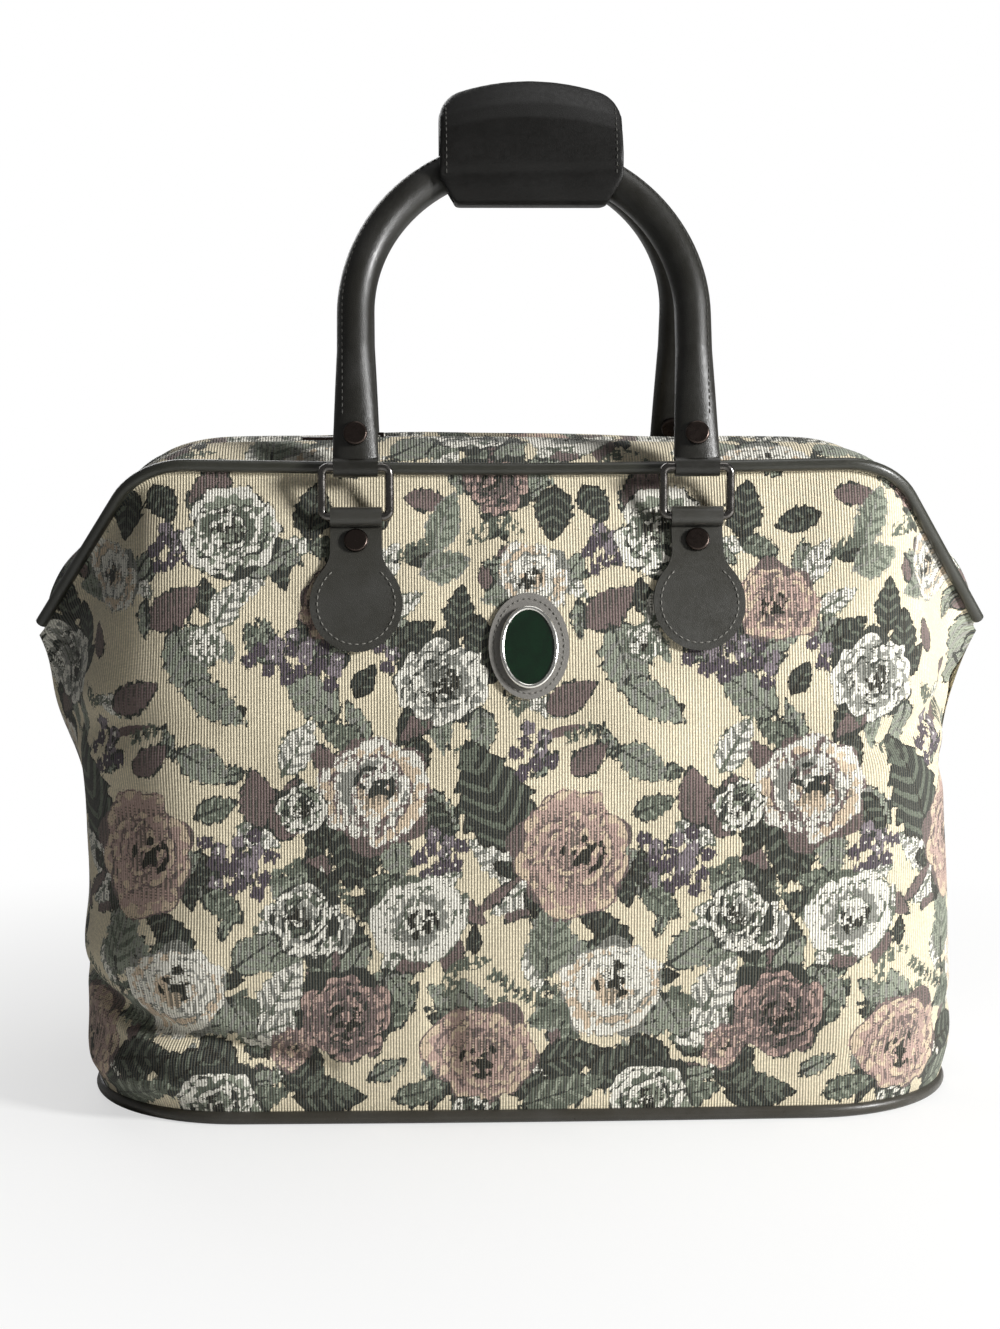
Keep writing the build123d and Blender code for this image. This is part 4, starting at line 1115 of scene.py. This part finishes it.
class BAG_OT_body(bpy.types.Operator):
    """Weave the tapestry and make the two panels and the two top strips"""
    bl_idname = "bag.body"
    bl_label = "Tapestry body"

    def execute(self, context):
        settings = context.scene.bag_tapestry
        material = tapestry_material(settings)
        weave = paint_repeat(settings.repeat / MM)
        cell = settings.cell / MM
        for side, turn, offset in (("front", 1, 0.0), ("back", -1, 128.0)):
            self.panel(side, turn, offset, cell, settings.fold, weave, material)
        for side, turn, offset in (("front", 1, 130.0), ("back", -1, 30.0)):
            self.strip(side, turn, offset, weave, material)
        return {"FINISHED"}

    def panel(self, side, turn, offset, cell, fold, weave, material):
        """One wall of the body, with its folds; the cloth's pattern starts at the offset."""
        columns = int(PANEL_WIDTH / cell) // 2 * 2 + 1
        lines = int(PANEL_HEIGHT / cell)
        grid = settle(panel_grid(columns, lines), "front_panel")
        u, v = cloth_places(grid)
        slack = slack_cloth(u, v, side) * fold * held_down(grid, u, v)
        grid = grid + facing(grid) * slack[..., None]
        grid[..., 0] -= side_slack(grid)
        tuck(grid[0], "base_piping")
        tuck(grid[-1], "front_top_piping")
        grid[..., 1] *= turn
        panel = woven_piece("tapestry_" + side, grid, turn * u + offset, v, weave, material, turn < 0)
        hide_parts(side + "_panel")

    def strip(self, side, turn, offset, weave, material):
        """One strip between the frame and the zip, humped in its middle."""
        columns = int(STRIP_WIDTH / STRIP_CELL) // 2 * 2 + 1
        grid = settle(strip_grid(columns, STRIP_LINES), "front_top_strip")
        u, v = cloth_places(grid)
        left = v.max() - v
        hump = swell(grid[..., 0], v, *HUMP) * eased(v, HUMP_EASE[0]) * eased(left, HUMP_EASE[1])
        lumps = even_lumps(u, v * 3, STRIP_PHASE) * STRIP_LUMPS * eased(v, LUMP_EASE) * eased(left, LUMP_EASE)
        grid = grid + facing(grid) * (hump + lumps)[..., None]
        tuck(grid[0], "front_top_piping")
        grid[..., 1] *= turn
        strip = woven_piece("tapestry_top_" + side, grid, turn * u + offset, v + STRIP_RISE, weave, material,
                            turn < 0)
        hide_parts(side + "_top_strip")


class BAG_OT_piping(bpy.types.Operator):
    """Finish the piping, the base and the stiffening inside"""
    bl_idname = "bag.piping"
    bl_label = "Piping and base"

    def execute(self, context):
        trim = context.scene.bag_trim
        piping = leather_material("rolled_leather_piping", trim.piping, trim.grain * 0.8, 0.36, 0.12, 0.2)
        base = leather_material("glazed_leatherette", trim.base, trim.grain, 0.34, 0.15, 0.15, 0.35)
        board = board_material()
        for name in ("front_top_piping", "back_top_piping"):
            dress(name, piping)
        for name in ("base_piping", "base_panel"):
            dress(name, base)
        for name in ("base_board", "front_frame_rod", "back_frame_rod", "frame_hinge_rivets"):
            dress(name, board)
        return {"FINISHED"}


def handle_frame(turn):
    """Origin, upward and outward-facing directions of a handle's plane."""
    joint = next(joint for joint in frame["joints"] if joint["name"] == "front_handle_swing")
    start = np.array(joint["pos_m"]) / MM
    inward = (HANDLE_TOP_DEPTH - start[1]) / HANDLE_RISE
    level = math.sqrt(1 - inward**2)
    up = np.array((0.0, inward * turn, level))
    out = np.array((0.0, -level * turn, inward))
    return np.array((SIDE_SHIFT, start[1] * turn, start[2])), up, out


def handle_line(turn):
    """Line of the seam along a handle, outside its middle, from one end to the other."""
    origin, up, out = handle_frame(turn)
    half = FITTING + SEAM_ASIDE
    flat = [(-half, rise) for rise in np.linspace(SEAM_START, HANDLE_STRAIGHT, 24)]
    flat += [(-half * math.cos(angle), HANDLE_STRAIGHT + half * math.sin(angle))
             for angle in np.linspace(0, math.pi, 90)[1:-1]]
    flat += [(half, rise) for rise in np.linspace(HANDLE_STRAIGHT, SEAM_START, 24)]
    return [origin + np.array((x, 0, 0)) + up * rise for x, rise in flat], out


def remade(name, mesh, kind, **settings):
    """The mesh after one modifier."""
    carrier = add_object(name, mesh)
    modifier = carrier.modifiers.new(name, kind)
    for key, value in settings.items():
        setattr(modifier, key, value)
    made = baked(carrier)
    bpy.data.meshes.remove(mesh)
    return made


def wrap_skin(material):
    """Padded leather skin of the wrap: the solid's shape, eased, with a domed front and a soft crease."""
    solid = frame["nodes"]["handle_wrap"].data.copy()
    mesh = remade("wrap_cells", solid, "REMESH", mode="VOXEL", voxel_size=WRAP_CELL * MM)
    places = np.empty(len(mesh.vertices) * 3)
    mesh.vertices.foreach_get("co", places)
    places = places.reshape(-1, 3) / MM
    faces = np.array([vertex.normal for vertex in mesh.vertices])
    x, y, z = places.T
    top = WRAP_TOP - WRAP_DROOP * ((x - WRAP_MIDDLE) / WRAP_HALF) ** 2
    share = np.clip((z - WRAP_BOTTOM) / (top - WRAP_BOTTOM), 0, 1)
    dome = np.interp(share, WRAP_SHARES, WRAP_DOME)
    height, width, depth = WRAP_CREASE
    furrow = depth * np.exp(-((z - height - WRAP_LEAN * x) / width) ** 2)
    height, width, rise = WRAP_SWELL
    dome += furrow - rise * np.exp(-((z - height) / width) ** 2)
    front = (faces[:, 1] < -0.3) & (y < WRAP_FRONT)
    places[:, 1] = np.where(front, dome, y)
    mesh.vertices.foreach_set("co", (places * MM).ravel())
    mesh = remade("wrap_eased", mesh, "SMOOTH", iterations=12)
    verts = [tuple(vertex.co / MM) for vertex in mesh.vertices]
    faces = [tuple(face.vertices) for face in mesh.polygons]
    made = piece("wrap_skin", verts, faces, material, "front_handle")
    bpy.data.meshes.remove(mesh)
    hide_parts("handle_wrap")
    return made


def stitch_sizes(trim):
    """Pitch, length, width and height of the ordinary stitch."""
    return trim.stitch_pitch, trim.stitch_length, trim.stitch_width, trim.stitch_width


def round_line(middle, radii, depth, angles):
    """Places round an oval that stands upright, at a depth."""
    return [(middle[0] + radii[0] * math.cos(angle), depth, middle[1] + radii[1] * math.sin(angle))
            for angle in angles]


class BAG_OT_handles(bpy.types.Operator):
    """Finish the handles and the wrap, with their sewn seams"""
    bl_idname = "bag.handles"
    bl_label = "Handles and wrap"

    def execute(self, context):
        trim = context.scene.bag_trim
        leather = leather_material("smooth_calf_leather", trim.leather, trim.grain, 0.34, 0.12, 0.1, 0.4)
        wrap = leather_material("dark_wrap_leather", trim.wrap, trim.grain, 0.46, 0.03, 0.0, 0.25)
        thread = thread_material("dark_seam_thread", trim.seam)
        sizes = stitch_sizes(trim)
        for side, turn in (("front", 1), ("back", -1)):
            dress(side + "_handle", leather)
            line, out = handle_line(turn)
            rows = surface_rows(frame["nodes"][side + "_handle"].data, [line], -out, LIFT)
            sewn(side + "_handle_seam", rows, sizes, thread, side + "_handle")
        skin = wrap_skin(wrap)
        rows = [[(WRAP_MIDDLE + x, WRAP_SEAM_START, z) for z in np.linspace(*WRAP_SEAM_SPAN, 24)]
                for x in (-WRAP_SEAM, WRAP_SEAM)]
        rows = surface_rows(skin.data, rows, (0, 1, 0), LIFT)
        sewn("wrap_seam", rows, sizes, thread, "front_handle")
        return {"FINISHED"}


class BAG_OT_tabs(bpy.types.Operator):
    """Finish the tabs with their stitched edges, rings and rivets"""
    bl_idname = "bag.tabs"
    bl_label = "Tabs, rings and rivets"

    def execute(self, context):
        trim = context.scene.bag_trim
        leather = leather_material("smooth_tab_leather", trim.tabs, trim.grain, 0.36, 0.16, 0.12)
        thread = thread_material("waxed_thread", trim.stitch)
        nickel = metal_material("dark_nickel_wire", trim.nickel, 0.16, 0.5)
        rivet = metal_material("antique_nickel_rivet", trim.rivet, 0.22, 0.6)
        angles = np.linspace(math.radians(48), math.radians(-228), 80)
        for side, turn in (("front", 1), ("back", -1)):
            rows = []
            for end, x in (("left", -FITTING), ("right", FITTING)):
                name = "tab_" + side + "_" + end
                dress(name, leather)
                dress("ring_" + side + "_" + end, nickel)
                arc = round_line((SIDE_SHIFT + x, TAB_MIDDLE), (TAB_SEAM, TAB_SEAM), -FAR * turn, angles)
                rows += surface_rows(frame["nodes"][name].data, [arc], (0, turn, 0), LIFT)
            sewn("tab_stitches_" + side, rows, stitch_sizes(trim), thread, "bag")
            dress(side + "_handle_rivets", rivet)
        dress("tab_rivets", rivet)
        return {"FINISHED"}


class BAG_OT_zip(bpy.types.Operator):
    """Make the zip's coil and finish its tapes, sliders and pulls"""
    bl_idname = "bag.zip"
    bl_label = "Zip"

    def execute(self, context):
        trim = context.scene.bag_trim
        tape = thread_material("woven_zip_tape", trim.zip)
        coil = thread_material("nylon_coil", trim.zip)
        metal = metal_material("dark_zip_metal", trim.rivet, 0.25, 0.4)
        share = (ZIP_END - RIDGE_SIDE_TOP) / (RIDGE_TOP - RIDGE_SIDE_TOP)
        half = [(-blend_values(RIDGE_SIDE_HALF, RIDGE_HALF, share), ZIP_END),
                (-RIDGE_HALF, RIDGE_TOP + COIL_RISE)]
        corners = half + [(-x, height) for x, height in reversed(half)]
        path = even_path(corners, [COIL_BEND, COIL_BEND], 320)
        sizes = (trim.tooth_pitch, *COIL_TURN)
        for name, y in (("front", -COIL_GAP), ("back", COIL_GAP)):
            dress("zip_tape_" + name, tape)
            row = [(x, y, z) for x, z in path]
            teeth = sewn("zip_coil_" + name, [row], sizes, coil, "bag")
            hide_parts("zip_chain_" + name)
        for end in ("left", "right"):
            dress("zip_slider_" + end, metal)
            dress("zip_pull_" + end, metal)
        return {"FINISHED"}


class BAG_OT_badge(bpy.types.Operator):
    """Finish the badge, with a bare enamel field"""
    bl_idname = "bag.badge"
    bl_label = "Badge"

    def execute(self, context):
        trim = context.scene.bag_trim
        dress("badge_patch", leather_material("grey_patch_leather", trim.patch, trim.grain * 0.7, 0.5, 0.2))
        dress("badge_enamel", enamel_material(trim.enamel))
        self.rim(metal_material("polished_badge_rim", trim.badge_metal, 0.14, 0.2))
        ring = round_line((SIDE_SHIFT, BADGE_MIDDLE), BADGE_SEAM, -FAR, np.linspace(0, 2 * math.pi, 120))
        rows = surface_rows(frame["nodes"]["badge_patch"].data, [ring], (0, 1, 0), LIFT)
        thread = bpy.data.materials["waxed_thread"]
        sewn("badge_stitches", rows, BADGE_STITCH, thread, "bag")
        return {"FINISHED"}

    def rim(self, material):
        """Half-round bead along the solid rim."""
        mesh = frame["nodes"]["badge_rim"].data
        places = np.array([vertex.co for vertex in mesh.vertices]) / MM
        low, high = places.min(axis=0), places.max(axis=0)
        middle, half = (low + high) / 2, (high - low) / 2 - BEAD_INSET
        angles = np.linspace(0, 2 * math.pi, 144, endpoint=False)
        line = round_line((middle[0], middle[2]), (half[0], half[2]), -FAR, angles)
        line = np.array(surface_rows(mesh, [line], (0, 1, 0), -BEAD_SINK)[0])
        out = np.stack([np.cos(angles) * half[2], np.zeros(len(angles)), np.sin(angles) * half[0]], axis=1)
        out /= np.linalg.norm(out, axis=1)[:, None]
        forward = np.array((0, -1.0, 0))
        rounds, count = 14, len(angles)
        verts, faces = [], []
        for turn in np.linspace(0, 2 * math.pi, rounds, endpoint=False):
            verts += list(line + out * BEAD * math.cos(turn) + forward * BEAD * math.sin(turn))
        for ring, index in np.ndindex(rounds, count):
            after = (index + 1) % count
            over = (ring + 1) % rounds * count
            faces.append((ring * count + index, ring * count + after, over + after, over + index))
        made = piece("badge_bead", verts, faces, material, "bag")
        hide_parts("badge_rim")


def seen_directly(tree):
    """1 for what the camera sees, plainly or through glass, and 0 for light that falls on the bag."""
    ray = node(tree, "ShaderNodeLightPath").outputs
    return maths(tree, "MAXIMUM", ray["Is Camera Ray"], ray["Is Transmission Ray"])


def floor_material(code):
    """Pale paper that keeps the bag's shadow near it and fades to plain white away from it."""
    material, tree, shader = new_material("pale_paper_floor")
    # Paper tooth about 2 mm wide
    surface(tree, shader, linear(code), noise(tree, 500.0, 2.0), (0.05, 0.0005), {"Roughness": 0.9})
    place = node(tree, "ShaderNodeTexCoord").outputs["Object"]
    away = node(tree, "ShaderNodeVectorMath", {0: place}, operation="LENGTH").outputs["Value"]
    share = maths(tree, "MULTIPLY", seen_directly(tree), span(tree, away, 0.1, 0.55, 0.5, 1.0))
    glow = node(tree, "ShaderNodeEmission", {"Color": WHITE, "Strength": 1.0}).outputs[0]
    both = node(tree, "ShaderNodeMixShader", {0: share, 1: shader.outputs[0], 2: glow}).outputs[0]
    output = next(found for found in tree.nodes if found.bl_idname == "ShaderNodeOutputMaterial")
    tree.links.new(both, output.inputs[0])
    return material


def studio_world():
    """White behind the bag, and a low even light on it."""
    world = bpy.data.worlds.new("studio")
    world.use_nodes = True
    tree = world.node_tree
    tree.nodes.clear()
    # What polished metal mirrors is brighter than the light that fills the shadows
    glossy = node(tree, "ShaderNodeLightPath").outputs["Is Glossy Ray"]
    level = maths(tree, "MULTIPLY_ADD", glossy, 0.16, 0.03)
    soft = node(tree, "ShaderNodeBackground", {"Color": WHITE, "Strength": level}).outputs[0]
    plain = node(tree, "ShaderNodeBackground", {"Color": WHITE, "Strength": 1.0}).outputs[0]
    both = node(tree, "ShaderNodeMixShader", {0: seen_directly(tree), 1: soft, 2: plain}).outputs[0]
    node(tree, "ShaderNodeOutputWorld", {0: both})
    return world


def aim_object(made, place, direction):
    """Set a lamp or camera in place, looking along a direction."""
    made.location = place
    made.rotation_euler = direction.to_track_quat("-Z", "Y").to_euler()


class BAG_OT_stage(bpy.types.Operator):
    """Set the floor, the soft lights and the camera"""
    bl_idname = "bag.stage"
    bl_label = "Stage"

    def execute(self, context):
        settings = context.scene.bag_stage
        scene = context.scene
        scene.view_settings.view_transform = "Standard"
        mesh = bpy.data.meshes.new("floor")
        corners = ((-1, -1), (1, -1), (1, 1), (-1, 1))
        mesh.from_pydata([(x * FLOOR_HALF, y * FLOOR_HALF, 0) for x, y in corners], [], [(0, 1, 2, 3)])
        mesh.materials.append(floor_material(settings.floor))
        add_object("floor", mesh)
        scene.world = studio_world()
        for name, (place, size) in LAMPS.items():
            lamp = bpy.data.lights.new(name + "_light", "AREA")
            lamp.shape = "DISK"
            lamp.size = size
            lamp.energy = getattr(settings, name)
            aim_object(add_object(name + "_light", lamp), place, Vector(LAMP_TARGET) - Vector(place))
        camera = bpy.data.cameras.new("camera")
        camera.lens = settings.lens
        camera.sensor_width = 36.0
        camera.clip_end = 50.0
        level = math.cos(settings.elevation)
        offset = Vector((math.sin(settings.azimuth) * level, -math.cos(settings.azimuth) * level,
                         math.sin(settings.elevation)))
        scene.camera = add_object("camera", camera)
        aim_object(scene.camera, Vector(settings.target) + offset * settings.distance, -offset)
        return {"FINISHED"}


class BAG_PT_panel(bpy.types.Panel):
    """Steps that dress the bag, in order"""
    bl_idname = "BAG_PT_panel"
    bl_label = "Carpet bag"
    bl_space_type = "VIEW_3D"
    bl_region_type = "UI"
    bl_category = "Carpet bag"

    def draw(self, context):
        for group in ("bag_tapestry", "bag_trim", "bag_stage"):
            settings = getattr(context.scene, group)
            box = self.layout.box()
            for name in settings.__annotations__:
                box.prop(settings, name)
        for operator in STEPS:
            self.layout.operator(operator.bl_idname)


STEPS = (BAG_OT_body, BAG_OT_piping, BAG_OT_handles, BAG_OT_tabs, BAG_OT_zip, BAG_OT_badge, BAG_OT_stage)
GROUPS = {"bag_tapestry": TapestrySettings, "bag_trim": TrimSettings, "bag_stage": StageSettings}


def register():
    for name, group in GROUPS.items():
        bpy.utils.register_class(group)
        setattr(bpy.types.Scene, name, PointerProperty(type=group))
    for made in STEPS + (BAG_PT_panel,):
        bpy.utils.register_class(made)


def unregister():
    for made in (BAG_PT_panel,) + STEPS:
        bpy.utils.unregister_class(made)
    for name, group in GROUPS.items():
        delattr(bpy.types.Scene, name)
        bpy.utils.unregister_class(group)


def main():
    register()
    bpy.ops.bag.body()
    bpy.ops.bag.piping()
    bpy.ops.bag.handles()
    bpy.ops.bag.tabs()
    bpy.ops.bag.zip()
    bpy.ops.bag.badge()
    bpy.ops.bag.stage()


if __name__ == "__main__":
    main()
